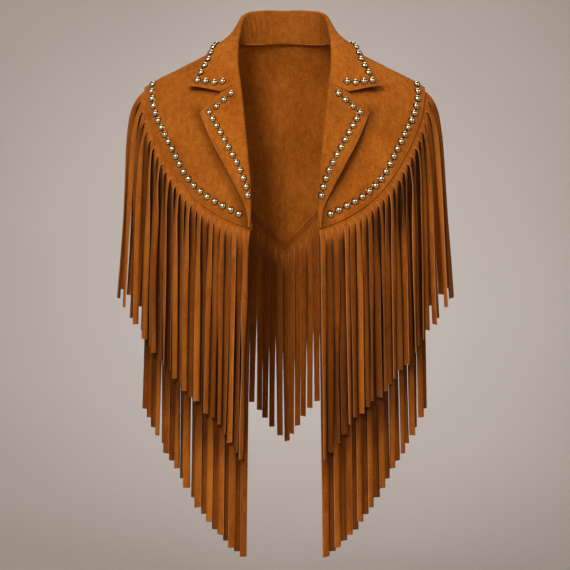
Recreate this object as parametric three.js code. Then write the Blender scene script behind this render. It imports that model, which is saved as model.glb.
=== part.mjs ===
import * as THREE from 'three';

// A suede fringe cape, worn and hollow: a short yoke with notched lapels and a
// stand-and-fall collar, rows of domed studs, two tiers of fringe on each front
// and one on the back. Millimetres, +Z up, the front faces -Y. The origin is the
// middle of the shoulder line, where the wearer's shoulders carry the cape.

// Driving dimensions
const NECK_TOP = 75;            // height of the shoulder ridge line at the neck, over the origin
const SHOULDER_SLOPE = 0.5;     // fall of the ridge line for each millimetre outward
const NECK_ROUND = 15;          // rounding of the ridge line over the neck
const DROOP_START = 205;        // where the shoulder end starts to round off
const DROOP_RUN = 40;
const DROOP_DEPTH = 16;
const HALF_WIDTH = 245;         // half width that the rounded chest and back close to
const SIDE_POWER = 2.3;         // how square the chest is in plan
const CHEST_DEPTH = 115;        // front of the chest from the shoulder ridge
const CHEST_EASE = 100;         // how slowly the chest comes forward going down
const BACK_DEPTH = 105;         // back from the shoulder ridge
const BACK_EASE = 45;
const RIDGE_ROUND = 20;         // rounding of the cloth over the shoulder
const CLOTH = 2;                // suede wall
const SEAM_GAP = 0.3;           // between pieces that meet
const FOLD_RADIUS = 3.2;        // middle of the cloth round the lapel and collar fold
const FOLD_LIFT = -0.2;         // the fold's centre, over the outer face of the panel
const FLANGE = 5;               // cloth that turns in behind the panel's edge
const EASE = 0.4;               // slack between a panel and the curved strip sewn under it
const TIP_EASE = 1.5;           // more of it where the cloth rounds the shoulder end
const TIP_EASE_RUN = 45;
const NECK_EASE = 1.3;          // slack between the stand and the neck edge it is sewn into
const FRINGE_CLOTH = 1.5;
const BAND = 5;                 // how much of the fringe's strip shows between the panel and the slits
const BAND_END = 1;             // how far the slits start under the hem line
const STRAND_WIDTH = 8.4;
const ROOT_SHARE = 0.84;        // share of each pitch that stays strand at the slit's end
const STUD_RADIUS = 5.2;
const STUD_HEIGHT = 4.2;
const LINK_HALF = 0.8;          // half width of the wire that joins the studs
const LINK_HEIGHT = 0.9;
const SLOPE_STEP = 0.05;        // small step that slopes of the form are measured over
const LINE_STEP = 0.004;        // the same along a line, as a share of it

const suede = new THREE.MeshStandardMaterial({ color: 0xa8581a, roughness: 0.95, metalness: 0 });
const fringeSuede = new THREE.MeshStandardMaterial({ color: 0x98501a, roughness: 0.95, metalness: 0 });
const studMetal = new THREE.MeshStandardMaterial({ color: 0xc9c0a6, roughness: 0.25, metalness: 1 });

// Tables of the cut, picture left side. x and z are where the line lies seen from
// the front, x and y where it lies seen from above.
const NECK_SEAM = [
  { x: 0, y: 62 }, { x: -34, y: 54 }, { x: -60, y: 38 }, { x: -75, y: 17 }, { x: -80, y: 0 },
];
const NECK_SEAM_FRONT = [
  { x: -80, y: 0 }, { x: -82, y: -30 }, { x: -79, y: -56 }, { x: -74, y: -72 },
];
const LAPEL_ROLL = [
  { x: -69.5, z: -37 }, { x: -64, z: -83 }, { x: -60.3, z: -123 }, { x: -56.7, z: -158 },
  { x: -53.2, z: -198 }, { x: -52.3, z: -233 }, { x: -52.8, z: -254 },
];
const CENTRE_FRONT = { x: -54, z: -274.5 };
const FRONT_HEM = [
  { x: -232, z: -56 }, { x: -226, z: -86 }, { x: -213, z: -122 }, { x: -194, z: -160 },
  { x: -170, z: -197.5 }, { x: -141, z: -229.5 }, { x: -108, z: -252.4 }, { x: -75, z: -268 },
];
const BACK_HEM = [
  { x: -230.5, z: -62 }, { x: -213, z: -92 }, { x: -186, z: -128 }, { x: -150, z: -165 },
  { x: -105, z: -207 }, { x: -59, z: -251 }, { x: -20, z: -290.5 }, { x: 0, z: -310 },
];
const SHOULDER_TIP = -234.5;
const LAPEL_NOTCH = { x: -101, z: -51.5 };
const LAPEL_EDGE = [
  { x: -134.6, z: -85 }, { x: -113.7, z: -130.6 }, { x: -92.5, z: -171 }, { x: -73, z: -210.5 },
  { x: -61.5, z: -236 }, { x: -57.6, z: -256 },
];
// Collar sections from centre back to the gorge: the fold at the top, and the fall's edge
const COLLAR = [
  { foldX: 0, foldY: 72, foldZ: 103, edgeX: 0, edgeY: 77 },
  { foldX: -30, foldY: 69.5, foldZ: 103, edgeX: -40, edgeY: 73 },
  { foldX: -57, foldY: 56, foldZ: 98.5, edgeX: -74, edgeY: 57 },
  { foldX: -69.5, foldY: 33, foldZ: 87, edgeX: -96, edgeY: 35 },
  { foldX: -73, foldY: 0, foldZ: 57, edgeX: -117.5, edgeY: 3 },
  { foldX: -74.5, foldY: -36, foldZ: 25.5, edgeX: -132, edgeY: -30 },
  { foldX: -73, foldY: -61, foldZ: -13, edgeX: -144, edgeY: -43 },
];
const COLLAR_TIP = { x: -152.7, z: -41 };
const COLLAR_NOTCH = { x: -101.5, z: -50.2 };
const GORGE = { x: -74.2, z: -32.5 };

// Stud rows, counted in the photograph's way: one row for each edge
const FRONT_HEM_STUDS = 21;
const HEM_STUDS = [
  { x: -215.5, z: -31 }, { x: -216.5, z: -44 }, { x: -212.8, z: -67 }, { x: -204.3, z: -92.5 },
  { x: -191.5, z: -118.1 }, { x: -178.8, z: -142.6 }, { x: -167, z: -166.6 }, { x: -154, z: -189 },
  { x: -137, z: -207.5 }, { x: -113.6, z: -224.5 }, { x: -72, z: -246.7 },
];
const BACK_STUD_INSET = 16.5;
const BACK_HEM_STUDS = 25;
const LAPEL_TOP_STUDS = 4;
const LAPEL_SIDE_STUDS = 11;
const LAPEL_STUDS = [
  { x: -84.4, z: -55 }, { x: -119.3, z: -85.1 }, { x: -94.8, z: -129.4 }, { x: -68.8, z: -180 },
  { x: -60.3, z: -204 }, { x: -57.6, z: -218 },
];
const COLLAR_FRONT_STUDS = 4;
const COLLAR_SIDE_STUDS = 16;
const COLLAR_STUD_INSET = 12;
const COLLAR_STUD_START = 0.33;
const COLLAR_STUD_FRONT = { inner: 0.045, outer: 0.042 };

// Fringe tiers. from and to are shares of the hem, lift is where the backing's
// outer face lies under the panel, backing is the height of the strip that the
// strands are cut from, at the shoulder tip and further on, and stand is how far
// they hang out from it.
const FRONT_UPPER = {
  count: 24, from: 0.012, to: 0.998, backing: { tip: 12, full: 12 }, stand: 4,
  lift: -CLOTH - SEAM_GAP - EASE,
  lengths: [
    { at: 0, is: 337 }, { at: 0.1, is: 331 }, { at: 0.2, is: 320 }, { at: 0.31, is: 316 },
    { at: 0.45, is: 301 }, { at: 0.65, is: 304 }, { at: 0.8, is: 316 }, { at: 0.95, is: 354 },
    { at: 1, is: 357 },
  ],
};
const FRONT_LOWER = {
  count: 20, from: 0.22, to: 0.998, backing: { tip: 12, full: 12 }, stand: -5,
  lift: -CLOTH - SEAM_GAP - EASE - FRINGE_CLOTH - SEAM_GAP,
  lengths: [
    { at: 0.2, is: 447 }, { at: 0.5, is: 448 }, { at: 0.72, is: 477 },
    { at: 0.9, is: 501 }, { at: 1, is: 516 },
  ],
};
const BACK_TIER = {
  count: 55, from: 0.006, to: 0.994, backing: { tip: 11, full: 18 }, stand: 2,
  lift: -CLOTH - SEAM_GAP - EASE,
  lengths: [
    { at: 0, is: 325 }, { at: 0.25, is: 302 }, { at: 0.42, is: 296 }, { at: 0.5, is: 313 },
    { at: 0.58, is: 296 }, { at: 0.75, is: 302 }, { at: 1, is: 325 },
  ],
};
const STRAND_RINGS = [10, 34, 120];   // distance of each ring from the root, before the tip
const FLARE = 0.12;                   // outward lean of the strands at the shoulder tip
const FLARE_RUN = 55;                 // hem length over which the lean fades
const CENTRE_LEAN = 0.012;            // outward lean of the strands further on
const CENTRE_LEAN_FROM = 50;          // half width over which that lean fades to none
const BEND = { tip: 29, run: 60, least: 5 };   // how far a strand takes to turn down at the hem
const STAND_RUN = 30;
const SIDE_TURN = 0.25;               // how much of the lean at the shoulder tip goes forward or back
const LENGTH_SPREAD = 3;              // unevenness of the cut ends
const TWIST = 16;                     // most degrees that a strand turns by its end
const TWIST_GROWTH = 0.7;
const TURN_RUN = 25;                  // how soon a strand's flat side turns to face along the row
const ROW_SPREAD = 0.6;               // how far along the row, in pitches, that side is measured

// The form that the cloth lies on. A place on it is x and w: w runs down from the
// shoulder ridge, below zero on the front and above zero on the back.
function ridge(x) {
  const past = Math.max(0, Math.abs(x) - DROOP_START) / DROOP_RUN;
  return NECK_TOP - SHOULDER_SLOPE * (Math.hypot(x, NECK_ROUND) - NECK_ROUND) - DROOP_DEPTH * past * past;
}

function plump(x) {
  const share = Math.min(1, Math.abs(x) / HALF_WIDTH);
  return Math.max(1e-4, 1 - share ** SIDE_POWER) ** (1 / SIDE_POWER);
}

function reach(x, w) {
  if (w < 0) return { depth: -CHEST_DEPTH * plump(x), ease: CHEST_EASE };
  return { depth: BACK_DEPTH * plump(x), ease: BACK_EASE };
}

function onSkin(x, w) {
  const { depth, ease } = reach(x, w);
  const down = Math.hypot(w, RIDGE_ROUND) - RIDGE_ROUND;
  return new THREE.Vector3(x, depth * (1 - Math.exp(-Math.abs(w) / ease)), ridge(x) - down);
}

// How the form runs along x and along w at a place, for one millimetre of each
function slopes(place) {
  const alongX = onSkin(place.x + SLOPE_STEP, place.y).sub(onSkin(place.x - SLOPE_STEP, place.y));
  const alongW = onSkin(place.x, place.y + SLOPE_STEP).sub(onSkin(place.x, place.y - SLOPE_STEP));
  return [alongX, alongW].map((v) => v.divideScalar(2 * SLOPE_STEP));
}

function seenFromFront({ x, z }, side = -1) {
  const down = Math.max(0, ridge(x) - z);
  return new THREE.Vector2(x, side * Math.sqrt(down * (down + 2 * RIDGE_ROUND)));
}

function seenFromAbove({ x, y }) {
  const { depth, ease } = reach(x, y);
  return new THREE.Vector2(x, -Math.sign(y) * ease * Math.log(1 - y / depth));
}

// Moves a place on the form by a distance in a direction that lies in the cloth
function moved(place, direction, distance) {
  const [alongX, alongW] = slopes(place);
  const xx = alongX.dot(alongX);
  const ww = alongW.dot(alongW);
  const xw = alongX.dot(alongW);
  const bx = alongX.dot(direction) * distance;
  const bw = alongW.dot(direction) * distance;
  const size = xx * ww - xw * xw;
  return new THREE.Vector2(place.x + (bx * ww - bw * xw) / size, place.y + (bw * xx - bx * xw) / size);
}

// A smooth line on the form through a few places, walked by its real length
class SkinLine {
  constructor(places, samples = 400) {
    const flat = places.map((p) => new THREE.Vector3(p.x, p.y, 0));
    const curve = new THREE.CatmullRomCurve3(flat, false, 'centripetal');
    this.places = curve.getPoints(samples).map((p) => new THREE.Vector2(p.x, p.y));
    this.lengths = [0];
    for (let i = 1; i < this.places.length; i += 1) {
      const a = this.places[i - 1];
      const b = this.places[i];
      this.lengths.push(this.lengths[i - 1] + onSkin(a.x, a.y).distanceTo(onSkin(b.x, b.y)));
    }
    this.length = this.lengths[samples];
  }

  at(share) {
    const wanted = Math.min(1, Math.max(0, share)) * this.length;
    let i = 1;
    while (i < this.lengths.length - 1 && this.lengths[i] < wanted) i += 1;
    const part = (wanted - this.lengths[i - 1]) / (this.lengths[i] - this.lengths[i - 1]);
    return this.places[i - 1].clone().lerp(this.places[i], part);
  }

  // The place, the tangent, the outward normal, and the direction off the line in the cloth
  frame(share) {
    const place = this.at(share);
    const ahead = this.at(share + LINE_STEP);
    const behind = this.at(share - LINE_STEP);
    const tangent = onSkin(ahead.x, ahead.y).sub(onSkin(behind.x, behind.y)).normalize();
    const normal = outward(place);
    return { place, tangent, normal, off: tangent.clone().cross(normal).normalize() };
  }
}

function outward(place) {
  const [alongX, alongW] = slopes(place);
  const normal = alongX.cross(alongW).normalize();
  const intoTheForm = normal.z < 0 || normal.y * Math.sign(place.y) < -0.2;
  return intoTheForm ? normal.negate() : normal;
}

function lifted(place, lift) {
  return onSkin(place.x, place.y).addScaledVector(outward(place), lift);
}

// Closed solids
function solid(name, points, triangles, material, side = 1) {
  const position = new Float32Array(points.length * 3);
  points.forEach((p, i) => position.set([p.x * side, p.y, p.z], i * 3));
  let volume = 0;
  const corner = [0, 1, 2].map(() => new THREE.Vector3());
  for (const triangle of triangles) {
    triangle.forEach((at, i) => corner[i].fromArray(position, at * 3));
    volume += corner[0].dot(corner[1].clone().cross(corner[2]));
  }
  const facing = volume < 0 ? triangles.map(([a, b, c]) => [a, c, b]) : triangles;
  const geometry = new THREE.BufferGeometry();
  geometry.setAttribute('position', new THREE.BufferAttribute(position, 3));
  geometry.setIndex(facing.flat());
  geometry.computeVertexNormals();
  const mesh = new THREE.Mesh(geometry, material);
  mesh.name = name;
  return mesh;
}

function quad(triangles, a, b, c, d) {
  triangles.push([a, b, c], [a, c, d]);
}

// A wall between an outer and an inner grid of points, rows by columns
function wall(name, outer, inner, material, side = 1) {
  const rows = outer.length;
  const columns = outer[0].length;
  const points = [...outer.flat(), ...inner.flat()];
  const far = rows * columns;
  const at = (i, j) => i * columns + j;
  const triangles = [];
  for (let i = 0; i < rows - 1; i += 1) {
    for (let j = 0; j < columns - 1; j += 1) {
      quad(triangles, at(i, j), at(i + 1, j), at(i + 1, j + 1), at(i, j + 1));
      quad(triangles, far + at(i, j), far + at(i, j + 1), far + at(i + 1, j + 1), far + at(i + 1, j));
    }
  }
  for (let i = 0; i < rows - 1; i += 1) {
    const last = columns - 1;
    quad(triangles, at(i, 0), far + at(i, 0), far + at(i + 1, 0), at(i + 1, 0));
    quad(triangles, at(i, last), at(i + 1, last), far + at(i + 1, last), far + at(i, last));
  }
  for (let j = 0; j < columns - 1; j += 1) {
    const last = rows - 1;
    quad(triangles, at(0, j), at(0, j + 1), far + at(0, j + 1), far + at(0, j));
    quad(triangles, at(last, j), far + at(last, j), far + at(last, j + 1), at(last, j + 1));
  }
  return solid(name, points, triangles, material, side);
}

// A wall round a grid of points in the middle of the cloth
function wallRound(name, middle, material, side = 1) {
  const half = CLOTH / 2;
  const within = (i, count) => Math.max(0, Math.min(count - 1, i));
  const pick = (i, j) => middle[within(i, middle.length)][within(j, middle[0].length)];
  const normals = middle.map((row, i) => row.map((_, j) => {
    const down = pick(i + 1, j).clone().sub(pick(i - 1, j));
    const across = pick(i, j + 1).clone().sub(pick(i, j - 1));
    return down.cross(across).normalize();
  }));
  const offMiddle = (i, j, lift) => middle[i][j].clone().addScaledVector(normals[i][j], lift);
  const grid = (lift) => middle.map((row, i) => row.map((_, j) => offMiddle(i, j, lift)));
  return wall(name, grid(half), grid(-half), material, side);
}

const share = (i, count) => i / (count - 1);

// The lines of the cut
const backNeck = new SkinLine(NECK_SEAM.map(seenFromAbove));
const shoulderTip = new THREE.Vector2(SHOULDER_TIP, 0);
const backHem = new SkinLine([shoulderTip, ...BACK_HEM.map((p) => seenFromFront(p, 1))]);
const frontHem = new SkinLine([shoulderTip, ...[...FRONT_HEM, CENTRE_FRONT].map((p) => seenFromFront(p))]);
const roll = new SkinLine(LAPEL_ROLL.map((p) => seenFromFront(p)));
const steps = (count) => Array.from({ length: count }, (_, i) => share(i, count));

// The panel's own edge, which lies over the fringe's strip, a band above the hem line
function panelEdge(hem) {
  const inside = steps(24).slice(1).map((u) => {
    const { place, off } = hem.frame(u);
    return moved(place, off, -Math.sign(-off.z) * BAND);
  });
  return new SkinLine([new THREE.Vector2(SHOULDER_TIP + BAND, 0), ...inside]);
}
const frontPanelEdge = panelEdge(frontHem);
const backPanelEdge = panelEdge(backHem);
const centreFront = frontPanelEdge.at(1);

const foldCentre = new SkinLine(steps(12).map((u) => {
  const { place, off } = roll.frame(u);
  return moved(place, off, Math.sign(off.x) * -(FOLD_RADIUS + CLOTH / 2));
}));
const frontNeck = NECK_SEAM_FRONT.slice(0, -1).map(seenFromAbove);
const besideFold = steps(9).map((u) => foldCentre.at(u).add(new THREE.Vector2(-SEAM_GAP, 0)));
const frontEdge = new SkinLine([...frontNeck, ...besideFold, centreFront]);

// Where the shoulder seam crosses the ridge, just over half a seam gap off it
const BESIDE_SEAM = SEAM_GAP / 2 + 0.02;
function beside(place, side) {
  return Math.abs(place.y) > 1 ? place : seenFromAbove({ x: place.x, y: side * BESIDE_SEAM });
}

// Front panel: columns run from the neck and fold to the hem
const CORNER_SHARE = 0.93;    // where along the hem the corner at the centre front starts
const FRONT_GRID = { columns: 25, rows: 8, crowding: 1.25 };   // columns lie closer at the shoulder
function frontPlace(u, v) {
  const top = frontEdge.at(u);
  const hemShare = CORNER_SHARE * u;
  const bottom = frontPanelEdge.at(hemShare);
  const straight = top.clone().lerp(bottom, v);
  if (u < 1) return straight;
  return v === 0 ? top : frontPanelEdge.at(1 - (1 - CORNER_SHARE) * v);
}

function frontPanel(side, name) {
  const { columns, rows, crowding } = FRONT_GRID;
  const column = (u, lift) => steps(rows).map((v) => lifted(beside(frontPlace(u ** crowding, v), -1), lift));
  const grid = (lift) => steps(columns).map((u) => column(u, lift));
  return wall(name, grid(0), grid(-CLOTH), suede, side);
}

// Back: columns run from the neck to the hem, from one shoulder seam to the other
const BACK_GRID = { half: 20, rows: 9, crowding: 1.1 };
function backPlace(u, v) {
  return backNeck.at(1 - u).lerp(backPanelEdge.at(u), v);
}

function backPanel() {
  const { half, rows, crowding } = BACK_GRID;
  const column = (u, lift) => steps(rows).map((v) => lifted(beside(backPlace(u ** crowding, v), 1), lift));
  const grid = (lift) => acrossBoth(half, (u) => column(1 - u, lift));
  return wall('back', grid(0), grid(-CLOTH), suede);
}

// Rows of points from one end over the centre line to the other, the far half mirrored.
// u is 0 on the centre line and 1 at either end.
function acrossBoth(half, row) {
  return Array.from({ length: 2 * half + 1 }, (_, i) => {
    const points = row(Math.abs(i - half) / half);
    return i > half ? points.map((p) => p.setX(-p.x)) : points;
  });
}

// The fold that turns a lapel or collar round the edge of the panel: points from the
// face, round the fold and back behind, about a centre, with out over the cloth
const FOLD_ANGLES = [60, 20, -20, -60, -90];
function foldPoints(centre, out, open) {
  return FOLD_ANGLES.map((angle) => {
    const turn = THREE.MathUtils.degToRad(angle);
    const point = centre.clone().addScaledVector(out, FOLD_RADIUS * Math.sin(turn));
    return point.addScaledVector(open, FOLD_RADIUS * Math.cos(turn));
  });
}

const LAPEL_REST = SEAM_GAP + CLOTH / 2;
const FOLD_TOP = FOLD_LIFT + FOLD_RADIUS;
const ROLL_RUN = 16;          // how far from the fold the cloth comes down to rest
const LAPEL_SPRING = { height: 4.5, from: -70, full: -150, narrow: 4, wide: 30 };

function foldFrame(u) {
  const { place, tangent, normal, off } = foldCentre.frame(u);
  const open = off.x > 0 ? off : off.negate();
  return { place, tangent, normal, open, centre: lifted(place, FOLD_LIFT) };
}

const lapelEdge = new SkinLine(LAPEL_EDGE.map((p) => seenFromFront(p)));
const lapelTop = [foldCentre.at(0), seenFromFront(LAPEL_NOTCH), lapelEdge.at(0)];
const NOTCH_SHARE = 0.44;     // where along the lapel's top edge the notch corner lies
const LAPEL_SECTIONS = 13;
const LAPEL_SHARES = [1, 0.75, NOTCH_SHARE, 0.2, 0];

function lapelPlace(u, v) {
  const topAt = (t) => (t < NOTCH_SHARE
    ? lapelTop[0].clone().lerp(lapelTop[1], t / NOTCH_SHARE)
    : lapelTop[1].clone().lerp(lapelTop[2], (t - NOTCH_SHARE) / (1 - NOTCH_SHARE)));
  const bottomAt = (t) => foldCentre.at(1).lerp(lapelEdge.at(1), t);
  const cornerMix = (a, b, c, d) => a.multiplyScalar((1 - u) * (1 - v)).add(b.multiplyScalar((1 - u) * v))
    .add(c.multiplyScalar(u * (1 - v))).add(d.multiplyScalar(u * v));
  return foldCentre.at(u).lerp(lapelEdge.at(u), v).add(topAt(v).lerp(bottomAt(v), u))
    .sub(cornerMix(foldCentre.at(0), lapelEdge.at(0), foldCentre.at(1), lapelEdge.at(1)));
}

function distanceFrom(line, place) {
  const point = onSkin(place.x, place.y);
  return Math.min(...steps(30).map((u) => lifted(line.at(u), 0).distanceTo(point)));
}

// Height of the middle of the lapel over the panel: it rests on it at the top, comes down
// from the fold, and springs up toward its outer edge where it is low and wide enough
function lapelLift(place) {
  const fromFold = distanceFrom(foldCentre, place);
  const width = fromFold + distanceFrom(lapelEdge, place);
  const { height, from, full, narrow, wide } = LAPEL_SPRING;
  const low = THREE.MathUtils.smoothstep(-onSkin(place.x, place.y).z, -from, -full);
  const spring = height * low * THREE.MathUtils.smoothstep(width, narrow, wide) * (fromFold / width) ** 2;
  return LAPEL_REST + (FOLD_TOP - LAPEL_REST) * Math.exp(-((fromFold / ROLL_RUN) ** 2)) + spring;
}

function lapel(side, name) {
  const middle = steps(LAPEL_SECTIONS).map((u) => {
    const across = LAPEL_SHARES.map((v) => {
      const place = lapelPlace(u, v);
      return lifted(place, v === 0 ? FOLD_TOP : lapelLift(place));
    });
    const { place, centre, normal, open } = foldFrame(u);
    const flange = lifted(moved(place, open, -FLANGE), FOLD_LIFT - FOLD_RADIUS);
    return [...across, ...foldPoints(centre, normal, open), flange];
  });
  return wallRound(name, middle, suede, side);
}

// Collar: each section runs from the fall's edge up over the fold and down the stand
const gorgeFold = foldFrame(0).centre.addScaledVector(foldFrame(0).open, FOLD_RADIUS + CLOTH / 2);
gorgeFold.z += 2 * SEAM_GAP;
const foldPlaces = [...COLLAR.map((r) => new THREE.Vector3(r.foldX, r.foldY, r.foldZ)), gorgeFold];
const collarFold = new THREE.CatmullRomCurve3(foldPlaces, false, 'centripetal');
const collarEdge = new SkinLine([
  ...COLLAR.map((r) => seenFromAbove({ x: r.edgeX, y: r.edgeY })), seenFromFront(COLLAR_TIP)]);
const collarSeam = new SkinLine([
  ...NECK_SEAM.map(seenFromAbove), ...NECK_SEAM_FRONT.slice(1, -1).map(seenFromAbove), seenFromFront(GORGE)]);
const COLLAR_REST = 1.6 + CLOTH / 2;   // middle of the fall over the panel at its edge
const FALL_BELLY = 5;                  // how far the fall rounds out between fold and edge
const STAND_UNDER = 4;                 // overlap of the stand inside the panel's neck edge
const COLLAR_STEP = 0.01;              // small step along or across the collar, as a share
const COLLAR_HALF = 16;                // sections on each side of the centre back
const COLLAR_SHARES = [1, 0.72, NOTCH_SHARE, 0.2, 0];
const CHEST_LIMIT = -0.93 * CHEST_DEPTH;   // most forward place that is looked up from above

function collarFrame(u) {
  const foldTop = collarFold.getPointAt(u);
  const ahead = collarFold.getPointAt(Math.min(1, u + COLLAR_STEP));
  const along = ahead.sub(collarFold.getPointAt(Math.max(0, u - COLLAR_STEP))).normalize();
  const seamPlace = collarSeam.at(u);
  const edgePlace = collarEdge.at(u);
  const edge = lifted(edgePlace, COLLAR_REST + (CLOTH * u) ** 2 / 2);
  const seam = lifted(seamPlace, -CLOTH / 2);
  const flat = (v) => v.addScaledVector(along, -v.dot(along)).normalize();
  const open = flat(foldTop.clone().sub(edge.clone().lerp(seam, 0.5)));
  const out = flat(outward(seamPlace).addScaledVector(open, -outward(seamPlace).dot(open)));
  const centre = foldTop.clone().addScaledVector(open, -(FOLD_RADIUS + CLOTH / 2));
  return { centre, open, out, edge, seamPlace, along };
}

// Keeps a point of the collar at least a distance over the panels
function heldOver(point, clear) {
  const held = point.clone();
  for (let round = 0; round < 3; round += 1) {
    const place = seenFromAbove({ x: held.x, y: Math.max(CHEST_LIMIT, held.y) });
    const normal = outward(place);
    const height = held.clone().sub(lifted(place, 0)).dot(normal);
    if (height < clear) held.addScaledVector(normal, clear - height);
  }
  return held;
}

function fallPoint(u, v) {
  const { centre, out, edge } = collarFrame(u);
  const top = centre.clone().addScaledVector(out, FOLD_RADIUS);
  if (u === 1) {
    const notch = lifted(seenFromFront(COLLAR_NOTCH), COLLAR_REST + 1);
    const cut = v < NOTCH_SHARE
      ? top.lerp(notch, v / NOTCH_SHARE)
      : notch.lerp(edge, (v - NOTCH_SHARE) / (1 - NOTCH_SHARE));
    return v === 0 ? cut : heldOver(cut, COLLAR_REST);
  }
  const belly = FALL_BELLY * Math.sin(Math.PI * v);
  const point = top.lerp(edge, v).addScaledVector(out, belly);
  return v === 0 ? point : heldOver(point, COLLAR_REST + belly / 2);
}

function collarSection(u) {
  const { centre, open, out, seamPlace, along } = collarFrame(u);
  const down = along.clone().cross(outward(seamPlace)).normalize();
  const away = down.dot(open) < 0 ? down : down.negate();
  const under = -CLOTH - SEAM_GAP - CLOTH / 2 - NECK_EASE;
  return [
    ...COLLAR_SHARES.map((v) => fallPoint(u, v)),
    ...foldPoints(centre, out, open),
    lifted(seamPlace, under),
    lifted(moved(seamPlace, away, STAND_UNDER), under),
  ];
}

function collar() {
  return wallRound('collar', acrossBoth(COLLAR_HALF, collarSection), suede);
}

// Fringe. A tier is one closed body: a narrow backing along the hem and its strands.
function tableAt(rows, at) {
  const next = rows.findIndex((row) => row.at >= at);
  if (next <= 0) return rows[next === 0 ? 0 : rows.length - 1].is;
  const a = rows[next - 1];
  const b = rows[next];
  return THREE.MathUtils.lerp(a.is, b.is, (at - a.at) / (b.at - a.at));
}

// A hem walked by its length in plan, so that strands that hang straight down are evenly apart
class HemWalk {
  constructor(line, samples = 300) {
    this.line = line;
    this.plan = [0];
    this.samples = samples;
    for (let i = 1; i <= samples; i += 1) {
      const a = line.at((i - 1) / samples);
      const b = line.at(i / samples);
      const from = onSkin(a.x, a.y);
      const to = onSkin(b.x, b.y);
      this.plan.push(this.plan[i - 1] + Math.hypot(to.x - from.x, to.y - from.y));
    }
  }

  toShare(part) {
    const wanted = part * this.plan[this.samples];
    let i = 1;
    while (i < this.samples && this.plan[i] < wanted) i += 1;
    return (i - 1 + (wanted - this.plan[i - 1]) / (this.plan[i] - this.plan[i - 1])) / this.samples;
  }

  toPart(at) {
    const i = Math.min(this.samples - 1, Math.floor(at * this.samples));
    const plan = THREE.MathUtils.lerp(this.plan[i], this.plan[i + 1], at * this.samples - i);
    return plan / this.plan[this.samples];
  }
}

function hemFrame(line, at) {
  const { place, tangent, normal, off } = line.frame(at);
  const away = off.z > 0 ? off.negate() : off;
  const downhill = normal.clone().multiplyScalar(normal.z).sub(new THREE.Vector3(0, 0, 1)).normalize();
  return { place, tangent, normal, away, downhill };
}

// How near to the shoulder tip a place on a hem is: 1 there, fading to nothing
const tipNearness = (line, at) => Math.exp(-at * line.length / TIP_EASE_RUN);

function strandPath(line, at, distance, lift, stand) {
  const { place, normal, away, downhill } = hemFrame(line, at);
  const root = lifted(moved(place, away, BAND_END), lift - TIP_EASE * tipNearness(line, at));
  const fromTip = at * line.length;
  const bend = BEND.least + BEND.tip * Math.exp(-fromTip / BEND.run);
  const sideways = new THREE.Vector3(normal.x, SIDE_TURN * normal.y, 0);
  const lean = FLARE * Math.exp(-fromTip / FLARE_RUN);
  const centreLean = CENTRE_LEAN * Math.min(1, Math.abs(place.x) / CENTRE_LEAN_FROM);
  const hang = new THREE.Vector3(-centreLean, 0, -1).addScaledVector(sideways, lean).normalize();
  const bent = bend * (1 - Math.exp(-distance / bend));
  const leave = downhill.setY(downhill.y * (1 - Math.exp(-fromTip / BEND.run)));
  const outwards = new THREE.Vector3(normal.x, normal.y, 0).normalize();
  return root.addScaledVector(leave, bent).addScaledVector(hang, distance - bent)
    .addScaledVector(outwards, stand * (1 - Math.exp(-distance / STAND_RUN)));
}

function unevenness(i, seed) {
  return Math.sin(i * 12.9898 + seed * 78.233) * 0.6 + Math.sin(i * 4.1414 + seed * 37.719) * 0.4;
}

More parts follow.
